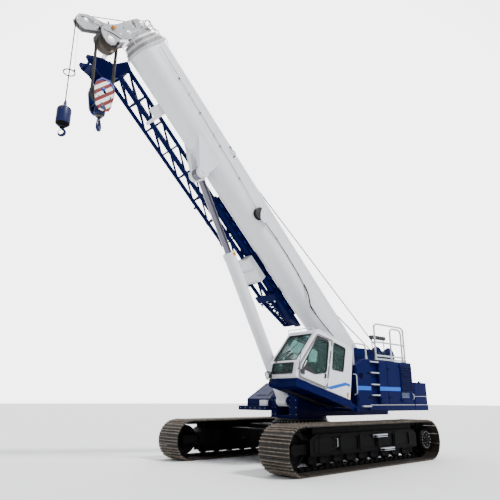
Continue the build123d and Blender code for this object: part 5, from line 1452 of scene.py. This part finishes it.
def makeHead():
    look = headLook
    along, n, radius, width = look["sheave"]
    for y in look["sheaveSides"]:
        sheave(onBoom(along, y, n), radius, width)
    a, b, r = look["top"]
    for y in (-0.018, 0.018):
        sheave(onBoom(a, y, b), r, 0.034)
    rod(onBoom(along, -0.235, n), onBoom(along, 0.235, n), 0.045, 24, 1)
    rod(onBoom(a, -0.205, b), onBoom(a, 0.205, b), 0.03, 20, 1)
    for y in (-0.084, 0.084):
        lathe(onBoom(along, y - 0.012, n), left, ((0, 0.05), (0, 0.075), (0.024, 0.075), (0.024, 0.05)), 24, 0, True)
    makePiece("headSheaves", (sheaveSteel, boltSteel), "boom_section_5", ("head_sheaves",))

    half = look["half"]
    for side in (-1, 1):
        face, out = side * half, side * left
        for (p, q), rad in (((along, n), 0.085), ((a, b), 0.065), ((11.52, -0.35), 0.05), ((11.55, -0.62), 0.03)):
            cap = ((-0.001, rad), (0.008, rad), (0.01, rad * 0.55), (0.022, rad * 0.5), (0.024, rad * 0.2))
            lathe(onBoom(p, face, q), out, cap, 28)
            boltRing(onBoom(p, face + side * 0.007, q), out, rad * 0.8, 6, 0.008, 0.007, 1)
        # pressed panel with rounded corners in the middle of the head's plate
        panel = ((11.16, -0.38), (11.5, -0.38), (11.5, 0.02), (11.16, 0.02))
        frameStrip(onBoom, roundedPolygon(panel, 0.06), roundedPolygon(grown(panel, -0.012), 0.05),
                   face - side * 0.001, face + side * 0.006)
        small = ((11.6, -0.16), (11.74, -0.16), (11.74, 0.02), (11.6, 0.02))
        ringStrip(onBoom, small, 0.02, 0.01, 0, face - side * 0.001, face + side * 0.005)
    # tubes and pegs along the head's upper edge, V bracket below
    for y in (-0.21, 0.21):
        pipe(points(onBoom, (11.66, y, 0.3), (11.63, y, 0.5), (11.44, y, 0.47), (11.31, y, 0.6), (11.12, y, 0.55)),
             0.014, 0.03, 8)
        pipe(points(onBoom, (11.5, y, 0.36), (11.46, y, 0.47)), 0.012, 0, 8)
        pipe(points(onBoom, (11.2, y, 0.5), (11.14, y, 0.62), (10.98, y, 0.56)), 0.012, 0.03, 8)
    vee = roundedPolygon(((11.43, -0.78), (11.37, -0.54), (11.3, -0.56), (11.22, -0.82), (11.27, -0.83),
                          (11.335, -0.66), (11.38, -0.8)), 0.012, 2)
    prism(onBoom, vee, half - 0.002, half + 0.03)
    for t in (11.13, 11.2):
        pipe(points(onBoom, (t, 0.24, 0.02), (t, 0.33, 0.03), (t, 0.34, 0.1)), 0.012, 0.02, 8)
    makePiece("headTrim", (whitePaint, boltSteel), "boom_section_5", bevel=0.0015)

    # rooster sheave, its cheek rims and guard pins
    ra, rb, rr = look["rooster"]
    sheave(onBoom(ra, 0, rb), rr - 0.012, 0.07)
    rod(onBoom(ra, -0.085, rb), onBoom(ra, 0.085, rb), 0.032, 20, 1)
    for p, q in ((12.26, -1.34), (12.3, -1.12)):
        rod(onBoom(p, -0.085, q), onBoom(p, 0.085, q), 0.01, 10, 1)
    makePiece("roosterSheave", (blackPlastic, boltSteel), "boom_section_5", slotName="sheave_steel")
    for side in (-1, 1):
        face = side * 0.08
        cap = ((-0.001, 0.06), (0.006, 0.06), (0.008, 0.04), (0.016, 0.036), (0.018, 0.01))
        lathe(onBoom(ra, face, rb), side * left, cap)
        hole = ((11.9, -0.9), (12.06, -0.9), (12.02, -1.02), (11.93, -1.06))
        frameStrip(onBoom, roundedPolygon(grown(hole, 0.012), 0.03), roundedPolygon(hole, 0.02),
                   face - side * 0.001, face + side * 0.006)
    makePiece("roosterTrim", (whitePaint,), "boom_section_5", bevel=0.001)

    # black junction box and its wires, dark caps of the head's bolts, and grey patches of painted shade where the
    # rooster's cheeks and the head's plates have openings and recesses in shadow
    prism(onBoom, roundedOutline(0.12, 0.1, 0.015, 3, (11.845, -0.94)), 0.078, 0.17)
    pipe(points(onBoom, (11.84, 0.15, -0.98), (11.8, 0.235, -1.0), (11.62, 0.24, -0.82), (11.45, 0.24, -0.7),
                (11.22, 0.24, -0.66)), 0.008, 0.06, 8)
    pipe(points(onBoom, (11.9, 0.14, -0.95), (12.02, 0.1, -1.02), (12.16, 0.095, -1.08), (12.27, 0.09, -1.22)), 0.007,
         0.05, 8)
    for a, b, r in ((11.607, -0.047, 0.028), (11.449, 0.23, 0.022), (11.52, 0.12, 0.014), (11.3, 0.1, 0.016),
                    (11.66, -0.42, 0.014), (11.4, -0.55, 0.016)):
        lathe(onBoom(a, half - 0.001, b), left, ((0, r), (0.01, r), (0.013, r * 0.6)), 14)
    # painted shade: grey insets on the rooster's cheeks, and a grey sheet in the gap beside them
    for side in (-1, 1):
        for recess in (((11.88, -0.7), (11.99, -0.8), (11.97, -0.92), (11.86, -0.86)),
                       ((12.04, -0.9), (12.16, -0.99), (12.1, -1.04), (12.03, -1.00))):
            prism(onBoom, roundedPolygon(recess, 0.02, 3), side * 0.0795, side * 0.083, 1)
        slab(onBoom, (11.79, 11.8), (side * 0.09, side * 0.19), (-0.9, -0.45), 1)
    pipe(points(onBoom, (11.16, 0.26, 0.52), (11.0, 0.3, 0.6), (10.86, 0.34, 0.5)), 0.01, 0.05, 8)
    # grey patches of painted shade over openings in the plates
    for a, b, w, h in ((11.7, -0.02, 0.1, 0.05), (11.4, 0.3, 0.09, 0.06), (11.25, 0.22, 0.05, 0.09),
                       (11.93, -0.62, 0.06, 0.04)):
        # on the head's plate, or on the narrower rooster beyond it
        ySpan = (half - 0.002, half + 0.035) if a < 11.9 else (0.078, 0.11)
        prism(onBoom, roundedOutline(w, h, 0.012, 3, (a, b)), *ySpan, 1)
    for a in (11.35, 11.47, 11.59):
        pipe(points(onBoom, (a, 0.235, 0.3), (a + 0.03, 0.29, 0.34), (a - 0.02, 0.3, 0.44), (a - 0.08, 0.24, 0.46)),
             0.011, 0.03, 8, 1)
    makePiece("headBox", (blackPlastic, paintedShadeGrey), "boom_section_5", bevel=0.0015)
    lamp = ((0, 0.045), (0.01, 0.05), (0.05, 0.048), (0.07, 0.03), (0.074, 0.01))
    lathe(onBoom(11.746, half - 0.002, -0.695), left, lamp, 20)
    makePiece("headLamp", (amberLens,), "boom_section_5")
    print("boom head")


def ropeRun(path, radius, pitch=0.02, segments=12):
    # laid wire rope: the section has a lobe for each strand and turns as it goes
    strands, gone = 6, [0.0]
    for near, far in zip(path, path[1:]):
        gone.append(gone[-1] + (far - near).length)
    tube(path, lambda i, a: radius * (0.93 + 0.1 * abs(math.cos(strands / 2 * a - math.pi * gone[i] / pitch))),
         segments)


def evenPath(corners, step):
    result = []
    for a, b in zip(corners, corners[1:]):
        count = max(1, int((b - a).length / step))
        result += [a + (b - a) * k / count for k in range(count)]
    return result + [corners[-1]]


def onArc(along, n, radius, fromDegrees, toDegrees, y, steps=14):
    turns = [math.radians(fromDegrees + (toDegrees - fromDegrees) * k / steps) for k in range(steps + 1)]
    return [onBoom(along + radius * math.cos(a), y, n + radius * math.sin(a)) for a in turns]


def makeHeadRopes():
    # hoist ropes over the top sheave and round the head sheaves; their lower runs hang in the falls
    look = headLook
    a, b, r = look["top"]
    along, n, radius = look["sheave"][:3]
    ra, rb, rr = look["rooster"]
    tilt = math.degrees(math.atan2(boomAhead.z, boomAhead.x))
    for y in (-0.018, 0.018):
        if y < 0:
            down = points(onBoom, (a + 0.16, y, b - 0.25), (along + radius - 0.014, y, n + 0.25))
            path = onArc(a, b, r - 0.014, 95, 10, y) + down + onArc(along, n, radius - 0.016, 20, -tilt, y)
        else:
            path = onArc(a, b, r - 0.014, 95, 22, y) + onArc(ra, rb, rr - 0.028, 22, -tilt, 0)
        ropeRun(evenPath(path, 0.05), 0.011)
        ropeRun(evenPath(points(onBoom, (11.2, y * 1.4, 0.515), (11.58, y, 0.345)), 0.06), 0.014, segments=8)
    # bights of the falls round the sheaves
    for y in look["sheaveSides"]:
        ropeRun(onArc(along, n, radius - 0.016, -tilt, 180 - tilt, y, 24), 0.013)
    makePiece("headRopes", (ropeSteel,), "boom_section_5", smooth=60)
    print("head ropes")


makeHead()
makeHeadRopes()


# Hook block with striped cheeks, its sheaves and swivelling hook; whip weight with its hook; falls and ring

hookLook = {
    "falls": 0.2595, "fallSides": (-0.056, 0.0, 0.056), "fallTop": 9.72, "fallFoot": 8.29, "fallRadius": 0.0135,
    "strandPitch": 0.028, "bightRadius": 0.241,
    "plates": (0.15, 0.175), "outline": ((0.1, 8.61), (0.215, 8.52), (0.252, 8.34), (0.185, 7.92), (0.095, 7.81)),
    "sheaveHeight": 8.29, "sheaveRadius": 0.262, "trunnionFoot": 7.765, "trunnionMiddle": 7.88,
    "hookBottom": 7.37, "hookRadius": 0.105, "hookBar": 0.042, "shank": 0.048, "turn": 48,
    "weightFoot": 7.13, "auxBottom": 6.91, "auxRadius": 0.072, "auxBar": 0.027, "auxTurn": -42, "auxShank": 0.03,
    "ringHeight": 8.52, "ringRadius": 0.125,
}


def forgedHook(centre, turn, shankTop, bottom, radius, bar, shank):
    # forged hook: thick round bowl, pointed tip, sprung latch across the mouth
    heading = Vector((math.cos(math.radians(turn)), math.sin(math.radians(turn)), 0))
    across = Vector((-heading.y, heading.x, 0))

    def place(a, b):
        return Vector((centre.x, centre.y, b)) + heading * a
    low = bottom + bar + radius
    path = [place(0, shankTop), place(0, low + radius * 1.9), place(0, low + radius * 1.55)]
    radii = [shank, shank, shank * 0.98]
    for k in range(25):
        a = math.radians(112 + k * 262 / 24)
        path.append(place(radius * math.cos(a), low + radius * math.sin(a)))
        share = k / 24
        swell, taper = 0.42 * math.exp(-((share - 0.42) / 0.28) ** 2), 0.6 * max(0, share - 0.72) / 0.28
        radii.append(bar * (0.92 + swell - taper))
    tip = path[-1]
    path.append(tip + Vector((0, 0, bar * 0.9)) + heading * bar * 0.35)
    radii.append(bar * 0.16)
    tube(path, lambda i, a: radii[i], 18, 0, 0.82, across)
    # latch
    hinge = place(-radius * 0.05, low + radius * 1.35)
    mouth = place(radius * 0.98, low + radius * 0.42)
    for side in (-1, 1):
        pipe([hinge + across * side * bar * 0.62, mouth + across * side * bar * 0.3], bar * 0.13, 0, 8, 1)
    rod(hinge - across * bar * 0.95, hinge + across * bar * 0.95, bar * 0.24, 12, 1)


def makeBlock():
    look = hookLook
    centre = Vector((headPin.x, headPin.y, 0))

    def onBlock(a, t, b):
        return Vector((centre.x + a, centre.y + t, b))
    low, high = look["plates"]
    pin, foot = look["sheaveHeight"], Vector((centre.x, centre.y, look["trunnionFoot"]))
    outline = [*look["outline"], *((-w, z) for w, z in reversed(look["outline"]))]
    cheek = roundedPolygon(outline, 0.05, 5)
    # cheeks: the left one striped, the right one plain blue, both with raised rim and slots
    prism(onBlock, cheek, low, high)
    inner = roundedPolygon(grown(outline, -0.022), 0.045, 5)
    frameStrip(onBlock, cheek, inner, high - 0.001, high + 0.012)
    prism(onBlock, cheek, -high, -low, 1)
    frameStrip(onBlock, cheek, inner, -high - 0.012, -high + 0.001, 1)
    for a, b, w, h in ((0.205, 8.16, 0.012, 0.035), (-0.15, 8.18, 0.014, 0.045)):
        slot = roundedOutline(w * 2, h * 2, w * 0.9, 4, (a, b))
        prism(onBlock, slot, high, high + 0.014, 2)
    for a, b, r in ((0.032, 7.965, 0.036), (0.137, 8.135, 0.013), (0.033, 8.2, 0.013)):
        eye = ((0, r * 1.15), (0.006, r * 1.15), (0.007, r * 0.8), (0.002, r * 0.75))
        lathe(onBlock(a, high, b), left, eye, 20, 2)
    lathe(onBlock(0.034, high, 8.345), left, ((0, 0.046), (0.012, 0.044), (0.016, 0.026), (0.022, 0.01)), 24, 1)
    # blue crest over the cheek, spacers and the sheave pin's caps
    crest = roundedPolygon(((-0.235, 8.46), (-0.1, 8.635), (0.1, 8.635), (0.225, 8.5), (0.2, 8.48), (0.09, 8.595),
                            (-0.09, 8.595), (-0.21, 8.44)), 0.012)
    prism(onBlock, crest, high - 0.02, high + 0.018, 1)
    prism(onBlock, crest, -high - 0.018, -high + 0.02, 1)
    cap = ((0, 0.08), (0.016, 0.078), (0.02, 0.05), (0.032, 0.045), (0.034, 0.01))
    lathe(onBlock(0, -high, pin), -left, cap, 28, 3)
    boltRing(onBlock(0, -high - 0.015, pin), -left, 0.064, 6, 0.008, 0.008, 5)
    for a, b in ((-0.19, 8.22), (0.19, 8.22), (-0.15, 7.98), (0.15, 7.98), (-0.07, 8.57), (0.07, 8.57)):
        rod(onBlock(a, -low, b), onBlock(a, low, b), 0.016, 14, 3)
    # weights at the foot of the cheeks
    for side in (-1, 1):
        weight = roundedPolygon(((-0.165, 7.86), (0.165, 7.86), (0.2, 8.02), (0.19, 8.06), (-0.19, 8.06),
                                 (-0.2, 8.02)), 0.025)
        prism(onBlock, weight, side * (low - 0.03), side * low, 3)
    # trunnion block with its thrust collar
    lathe(foot, up, ((0, 0.1), (0.015, 0.125), (0.05, 0.13), (0.18, 0.13), (0.215, 0.12), (0.23, 0.09)), 32, 3)
    for side in (-1, 1):
        middle = look["trunnionMiddle"]
        rod(onBlock(0, side * 0.09, middle), onBlock(0, side * 0.19, middle), 0.055, 24, 3)
        lathe(onBlock(0, side * 0.172, middle), side * left, ((0, 0.07), (0.008, 0.07), (0.012, 0.05)), 20, 3)
    # sheaves of the block
    for y in look["fallSides"]:
        lathe(onBlock(0, y, pin), left, grooved(look["sheaveRadius"] - 0.018, 0.046), 44, 4)
    rod(onBlock(0, -high, pin), onBlock(0, high, pin), 0.04, 20, 5)
    makePiece("hookBlock", (blockStripes, sideBlue, blackPlastic, hookNavy, sheaveSteel, boltSteel), "main_block",
              ("hook_block",), bevel=0.002)
    forgedHook(centre, look["turn"], foot.z + 0.03, look["hookBottom"], look["hookRadius"], look["hookBar"],
               look["shank"])
    lathe(foot, -up, ((0, 0.075), (0.02, 0.08), (0.05, 0.078), (0.06, 0.056)), 24, 2)
    makePiece("mainHook", (hookNavy, boltSteel, sheaveSteel), "main_block", ("main_hook",), smooth=50)
    # six parts of line: laid rope, straight and taut
    for side in (-1, 1):
        for y in look["fallSides"]:
            line = points(onBlock, (side * look["falls"] * 0.985, y, look["fallTop"]),
                          (side * look["falls"] * 0.93, y, look["fallFoot"]))
            ropeRun(evenPath(line, look["strandPitch"]), look["fallRadius"], look["strandPitch"])
    makePiece("hoistFalls", (ropeSteel,), "main_block", ("main_falls",), smooth=60)
    # lower bights round the block's sheaves
    for y in look["fallSides"]:
        turns = [math.radians(180 + 180 * k / 24) for k in range(25)]
        bight = [onBlock(look["bightRadius"] * math.cos(a), y, pin + look["bightRadius"] * math.sin(a)) for a in turns]
        ropeRun(bight, look["fallRadius"], look["strandPitch"])
    makePiece("blockRopes", (ropeSteel,), "main_block", smooth=60)
    print("hook block")


def makeWhip():
    look = hookLook
    low = look["weightFoot"]
    aux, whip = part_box("aux_weight"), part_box("whip_rope")
    x, y, top = (whip[0].x + whip[1].x) / 2, (aux[0].y + aux[1].y) / 2, whip[1].z

    def onWhip(a, t, b):
        return Vector((x + a, y + t, b))
    # ball of two halves with a seam, eyes of its through-hole, black cone below
    ball = ((0.002, 0.05), (0.01, 0.066), (0.09, 0.152), (0.1, 0.155), (0.245, 0.155), (0.249, 0.151), (0.255, 0.151),
            (0.259, 0.155), (0.43, 0.155), (0.458, 0.147), (0.48, 0.12), (0.497, 0.06), (0.499, 0.03))
    lathe(onWhip(0, 0, low), up, ball, 48)
    for out in (Vector((0.72, 0.69, 0)), Vector((-0.72, -0.69, 0))):
        eye = ((0, 0.034), (0.008, 0.034), (0.008, 0.024), (-0.02, 0.022))
        lathe(onWhip(0, 0, 7.555) + out * 0.15, out, eye, 20, 2)
    lathe(onWhip(0, 0, low + 0.003), -up, ((0, 0.06), (0.01, 0.056), (0.035, 0.04), (0.045, 0.03)), 28, 1)
    cone = ((0.012, 0.07), (0.016, 0.078), (0.084, 0.15), (0.088, 0.152))
    lathe(onWhip(0, 0, low + 0.001), up, cone, 48, 1, True)
    makePiece("whipWeight", (hookNavy, blackPaint, wornSteel), "aux_block", ("aux_weight",), smooth=40)
    forgedHook(onWhip(0, 0, 0), look["auxTurn"], low + 0.02, look["auxBottom"], look["auxRadius"], look["auxBar"],
               look["auxShank"])
    makePiece("whipHook", (hookNavy, brassLatch), "aux_block", smooth=50)
    # wedge socket above the ball, and the rope
    socket = ((-0.038, 7.62), (0.038, 7.62), (0.03, 7.74), (0.014, 7.8), (-0.014, 7.8), (-0.03, 7.74))
    prism(onWhip, roundedPolygon(socket, 0.01), -0.022, 0.022, 1)
    rod(onWhip(0, -0.034, 7.655), onWhip(0, 0.034, 7.655), 0.013, 14, 2)
    ropeRun(evenPath([onWhip(0, 0, top - 0.001), onWhip(0, 0, 7.79)], 0.03), 0.013)
    makePiece("whipLine", (ropeSteel, hookNavy, boltSteel), "aux_block", ("whip_rope",), smooth=60)
    # limit-switch weight: a ring round the whip rope, hung on its own wire with a bulb
    height = look["ringHeight"]
    loop = circle(onWhip(0, 0, height), Vector((1, 0, 0)), left, look["ringRadius"], 28)
    pipe([*loop, loop[0]], 0.014, 0, 8, 1)
    pipe([onWhip(-0.08, 0.096, height), onWhip(-0.058, 0.022, top - 0.02)], 0.0035, 0, 6)
    lathe(onWhip(-0.08, 0.096, height + 0.006), up, ((0, 0.01), (0.01, 0.017), (0.06, 0.017), (0.07, 0.008)), 14, 1)
    makePiece("limitRing", (ropeSteel, blackPlastic), "aux_block")
    print("whip line")


makeBlock()
makeWhip()


# Winches: drums wound with rope, flanges with bolts, motors; hoist ropes to the boom head along its top

winchLook = {
    "places": ((-3.35, "winch_main"), (-4.04, "winch_aux")), "height": 2.91, "drum": 0.2, "half": 0.34,
    "ropePitch": 0.0225, "ropeRadius": 0.0113, "touchRadius": 0.221,
    "guides": ((2.35, 0.05, 0.575), (8.54, -0.05, 0.6)),   # where each winch's line meets the boom's top
}


def makeWinches():
    look = winchLook
    for x, node in look["places"]:
        z = look["height"]
        # wound rope: rings close together, the top layer not quite full
        count = int(2 * (look["half"] - 0.02) / look["ropePitch"])
        tree, given = startTree("woundRope_" + node,
                                {"Turns": "Int", "Pitch": "Float", "Drum": "Float", "Rope": "Float"})
        ring = addNode(tree, "GeometryNodeCurvePrimitiveCircle", {"Resolution": 56, "Radius": given["Drum"]})
        section = addNode(tree, "GeometryNodeCurvePrimitiveCircle", {"Resolution": 8, "Radius": given["Rope"]})
        wound = addNode(tree, "GeometryNodeCurveToMesh", {"Curve": ring, "Profile Curve": section})
        gap = addNode(tree, "ShaderNodeCombineXYZ", {"Z": given["Pitch"]})
        row = addNode(tree, "GeometryNodeMeshLine", {"Count": given["Turns"], "Offset": gap})
        copies = addNode(tree, "GeometryNodeInstanceOnPoints", {"Points": row, "Instance": wound})
        endTree(tree, [(copies, ropeSteel)])
        values = {"Turns": count, "Pitch": look["ropePitch"], "Drum": look["drum"] + 0.01, "Rope": look["ropeRadius"]}
        start = onMachine(x, -(count - 1) / 2 * look["ropePitch"], z)
        turn = Matrix.Translation(start) @ Matrix.Rotation(math.radians(-90), 4, "X")
        bakeTree("woundRope_" + node, tree, values, "upper", "rope_steel", turn=turn, smooth=60)
        for side in (-1, 1):
            # rim of the flange, the bearing cap and the motor's bolted end
            out = side * left
            rim = ((0, 0.296), (0, 0.305), (0.026, 0.305), (0.026, 0.296))
            lathe(onMachine(x, side * look["half"], z) - out * 0.012, out, rim, 48, 0, True)
            cap = onMachine(x, side * 0.395, z)
            lathe(cap, out, ((-0.001, 0.125), (0.014, 0.12), (0.018, 0.085), (0.034, 0.08), (0.036, 0.02)), 32)
            boltRing(cap + out * 0.012, out, 0.103, 8, 0.01, 0.01, 1)
        makePiece("winchTrim_" + node, (navyPaint, boltSteel), "upper", bevel=0.0015)
    # hoses of the motors
    for x, _ in look["places"]:
        for side in (-1, 1):
            hose = points(onMachine, (x + 0.06, side * 0.41, 2.86), (x + 0.14, side * 0.46, 2.78),
                          (x + 0.2, side * 0.44, 2.55), (x + 0.24, side * 0.41, 2.25))
            pipe(hose, 0.016, 0.08)
            pipe([p + Vector((0.06, 0, 0)) for p in hose], 0.013, 0.08)
    makePiece("winchHoses", (blackRubber,), "upper")
    # black device that stands over the winches on two posts
    for x in (-3.05, -3.72):
        pipe(points(onMachine, (x, 0.38, 2.72), (x, 0.38, 3.45)), 0.016)
    prism(onMachine, roundedOutline(0.8, 0.12, 0.03, 4, (-3.385, 3.49)), 0.33, 0.43)
    for a in (-3.65, -3.385, -3.12):
        lathe(onMachine(a, 0.43, 3.49), left, ((0, 0.034), (0.012, 0.034), (0.016, 0.026), (0.016, 0.01)), 16)
    makePiece("winchGuardBox", (blackPlastic,), "upper", bevel=0.002)
    print("winches")


def makeHoistRopes():
    # hoist lines in their guides on the boom's top: the main one joins at the first guide, the other far up
    look = winchLook
    for along, y, n in look["guides"]:
        path = points(onBoom, (along, y, n), (9.9, y, 0.56), (11.2, y * 0.5, 0.515))
        ropeRun(evenPath(path, 0.06), 0.014, segments=8)
    makePiece("hoistLines", (ropeSteel,), "boom_section_1", smooth=60)
    # the stretch between a drum and its guide is taut: it leaves the wound rope at a tangent
    for (x, _), guide in zip(look["places"], look["guides"]):
        target, touchRadius = onBoom(*guide), look["touchRadius"]
        drum = onMachine(x, target.y, look["height"])
        gap = target - drum
        a = math.atan2(gap.z, gap.x) + math.acos(touchRadius / math.hypot(gap.x, gap.z))
        touch = drum + Vector((touchRadius * math.cos(a), 0, touchRadius * math.sin(a)))
        ropeRun(evenPath([touch, target], 0.08), 0.0165, 0.03, 8)
    makePiece("drumLines", (ropeSteel,), "boom_section_1", smooth=60)
    print("hoist lines")


makeWinches()
makeHoistRopes()


# Stowed jib: gussets, pin rims, box section with its rack, lattice, saddle and tapered lower end

jibLook = {
    "inner": -0.7, "outer": -1.11, "top": -0.2, "low": -0.61, "start": 3.3, "end": 10.9, "panels": 10,
    "gusset": 0.075, "chord": 0.056, "brace": 0.024,
    # lower end: each corner's y or n where it starts and where it stops
    "tipStart": 3.32, "tipStop": 2.27, "tipLevels": {"low": (-0.52, -0.34), "top": (-0.2, -0.2)},
    "tipSides": {"in": (-0.7, -0.72), "out": (-1.05, -1.02)}, "tipBays": 4,
    # plates of the saddle: spans along the boom, across it and up
    "saddle": (((4.16, 4.946), (-1.16, -0.366), (-0.66, -0.646)), ((4.934, 4.948), (-1.16, -0.366), (-0.66, -0.578)),
               ((4.16, 4.174), (-1.16, -0.366), (-0.66, -0.6)), ((4.16, 4.946), (-1.168, -1.154), (-0.66, -0.5)),
               ((4.16, 4.946), (-0.374, -0.362), (-0.655, -0.485)), ((4.3, 4.946), (-0.453, -0.441), (-0.64, -0.475)),
               ((4.934, 4.948), (-0.66, -0.441), (-0.64, -0.475))),
}


def makeJib():
    look = jibLook
    pitch, size = (look["end"] - look["start"]) / look["panels"], look["gusset"]
    # gusset plates where the braces meet the chords
    for k in range(look["panels"] + 1):
        along = look["start"] + k * pitch
        for n, lift in ((look["top"], -1), (look["low"], 1)):
            for y in (look["inner"], look["outer"]):
                plate = ((-1, 0), (1, 0), (0.4, 0.9), (-0.4, 0.9))
                plate = [(along + size * a, n + lift * size * b) for a, b in plate]
                if k < look["panels"] or n == look["top"]:
                    prism(onBoom, roundedPolygon(plate, 0.012, 2), y - 0.004, y + 0.004)
    flange = ((0, 0.04), (0.004, 0.056), (0.026, 0.056), (0.034, 0.056), (0.056, 0.056), (0.06, 0.04))
    for along in (6.9, 10.72):
        for y in (look["inner"], look["outer"]):
            for n in (look["top"], look["low"]):
                lathe(onBoom(along - 0.03, y, n), boomAhead, flange, 16)
                boltRing(onBoom(along + 0.026, y, n), boomAhead, 0.047, 6, 0.007, 0.007, 1)
    makePiece("jibGussets", (navyPaint, boltSteel), "boom_section_1", bevel=0.001)
    # white rims round the pin holes of the fork ends
    rim = ((0, 0.034), (0, 0.062), (0.052, 0.062), (0.052, 0.034))
    for y in (look["inner"], look["outer"]):
        for along, n in ((11.56, -0.3), (11.5, -0.52)):
            lathe(onBoom(along, y - 0.026, n), left, rim, 24, 0, True)
    makePiece("jibEyeRims", (whitePaint,), "boom_section_1", bevel=0.001)
    # box section of the jib: hand holes, edge bars
    for k in range(13):
        prism(onBoom, roundedOutline(0.14, 0.032, 0.015, 3, (2.75 + 0.32 * k, -0.33)), -0.457, -0.451)
    for k in range(15):
        along = 2.7 + 0.26 * k
        slab(onBoom, (along - 0.006, along + 0.006), (-0.657, -0.458), (-0.268, -0.259), 1)
    slab(onBoom, (2.6, 6.85), (-0.453, -0.386), (-0.3, -0.27), 1)
    makePiece("jibBoxTrim", (sideBlue, navyPaint), "boom_section_1", bevel=0.001)
    # toothed rack plate beneath the box
    teeth = [(3.9, -0.5), (3.9, -0.56)]
    for k in range(9):
        a = 3.9 + k * 0.14
        teeth += [(a + 0.02, -0.6), (a + 0.07, -0.6), (a + 0.09, -0.56), (a + 0.12, -0.56)]
    prism(onBoom, teeth + [(5.2, -0.54), (5.2, -0.5)], -0.7, -0.68)
    makePiece("jibRack", (navyPaint,), "boom_section_1", bevel=0.001)
    # tubes and braces of the lattice, drawn at the thickness that the real ones have

    def corner(side, level, share):
        y = look["inner"] if side == "inner" else -1.05 - 0.06 * share
        n = look["top"] if level == "top" else -0.52 - 0.09 * share
        return onBoom(look["start"] + (look["end"] - look["start"]) * share, y, n)
    corners = (("inner", "top"), ("outer", "top"), ("outer", "low"), ("inner", "low"))
    for place in corners:
        rod(corner(*place, 0), corner(*place, 1), look["chord"], 16)
    for near, far in ((0, 1), (1, 2), (3, 2), (0, 3)):
        near, far = corners[near], corners[far]
        for k in range(look["panels"] + 1):
            share = k / look["panels"]
            rod(corner(*near, share), corner(*far, share), look["brace"], 10)
            if k:
                rod(corner(*near, share), corner(*far, share - 1 / look["panels"]), look["brace"], 10)
    makePiece("jibTubes", (navyPaint,), "boom_section_1")
    # white saddle that carries the stowed jib, laid over its upper bracket
    for spans in look["saddle"]:
        slab(onBoom, *spans)
    web = ((-1.15, -0.66), (-1.06, -0.7), (-0.6, -0.72), (-0.37, -0.69), (-0.37, -0.66))
    for along in (4.165, 4.55, 4.925):
        prism(lambda a, t, b: onBoom(along + t, a, b), web, -0.008, 0.008)
    makePiece("jibSaddleArm", (whitePaint,), "boom_section_1", bevel=0.003)
    # tapered lower end of the lattice: it rises so that the lowered boom clears the right front box

    def chord(side, level, share):
        spans = ((look["tipStart"], look["tipStop"]), look["tipSides"][side], look["tipLevels"][level])
        return onBoom(*(first + (last - first) * share for first, last in spans))
    for side in ("in", "out"):
        for level in ("low", "top"):
            rod(chord(side, level, 0), chord(side, level, 1), look["chord"], 14)
    low, top, outLow, outTop = ("in", "low"), ("in", "top"), ("out", "low"), ("out", "top")
    for k in range(look["tipBays"]):
        p, q = k / look["tipBays"], (k + 1) / look["tipBays"]
        for near, far in ((low, top), (outLow, outTop), (low, outLow), (top, outTop)):
            first, second = (near, far) if k % 2 else (far, near)
            rod(chord(*first, p), chord(*second, q), look["brace"], 10)
            rod(chord(*near, q), chord(*far, q), look["brace"], 10)
    tip = [chord(*place, 1) for place in (low, top, outTop, outLow)]
    for p, q in zip(tip, tip[1:] + tip[:1]):
        rod(p, q, 0.045)
    boxEnd = roundedPolygon(((2.16, -0.27), (2.58, -0.27), (2.58, -0.465), (2.16, -0.345)), 0.02)
    prism(onBoom, boxEnd, -0.655, -0.46)
    makePiece("jibLowerEnd", (navyPaint,), "boom_section_1", bevel=0.001)
    print("jib trim")


makeJib()
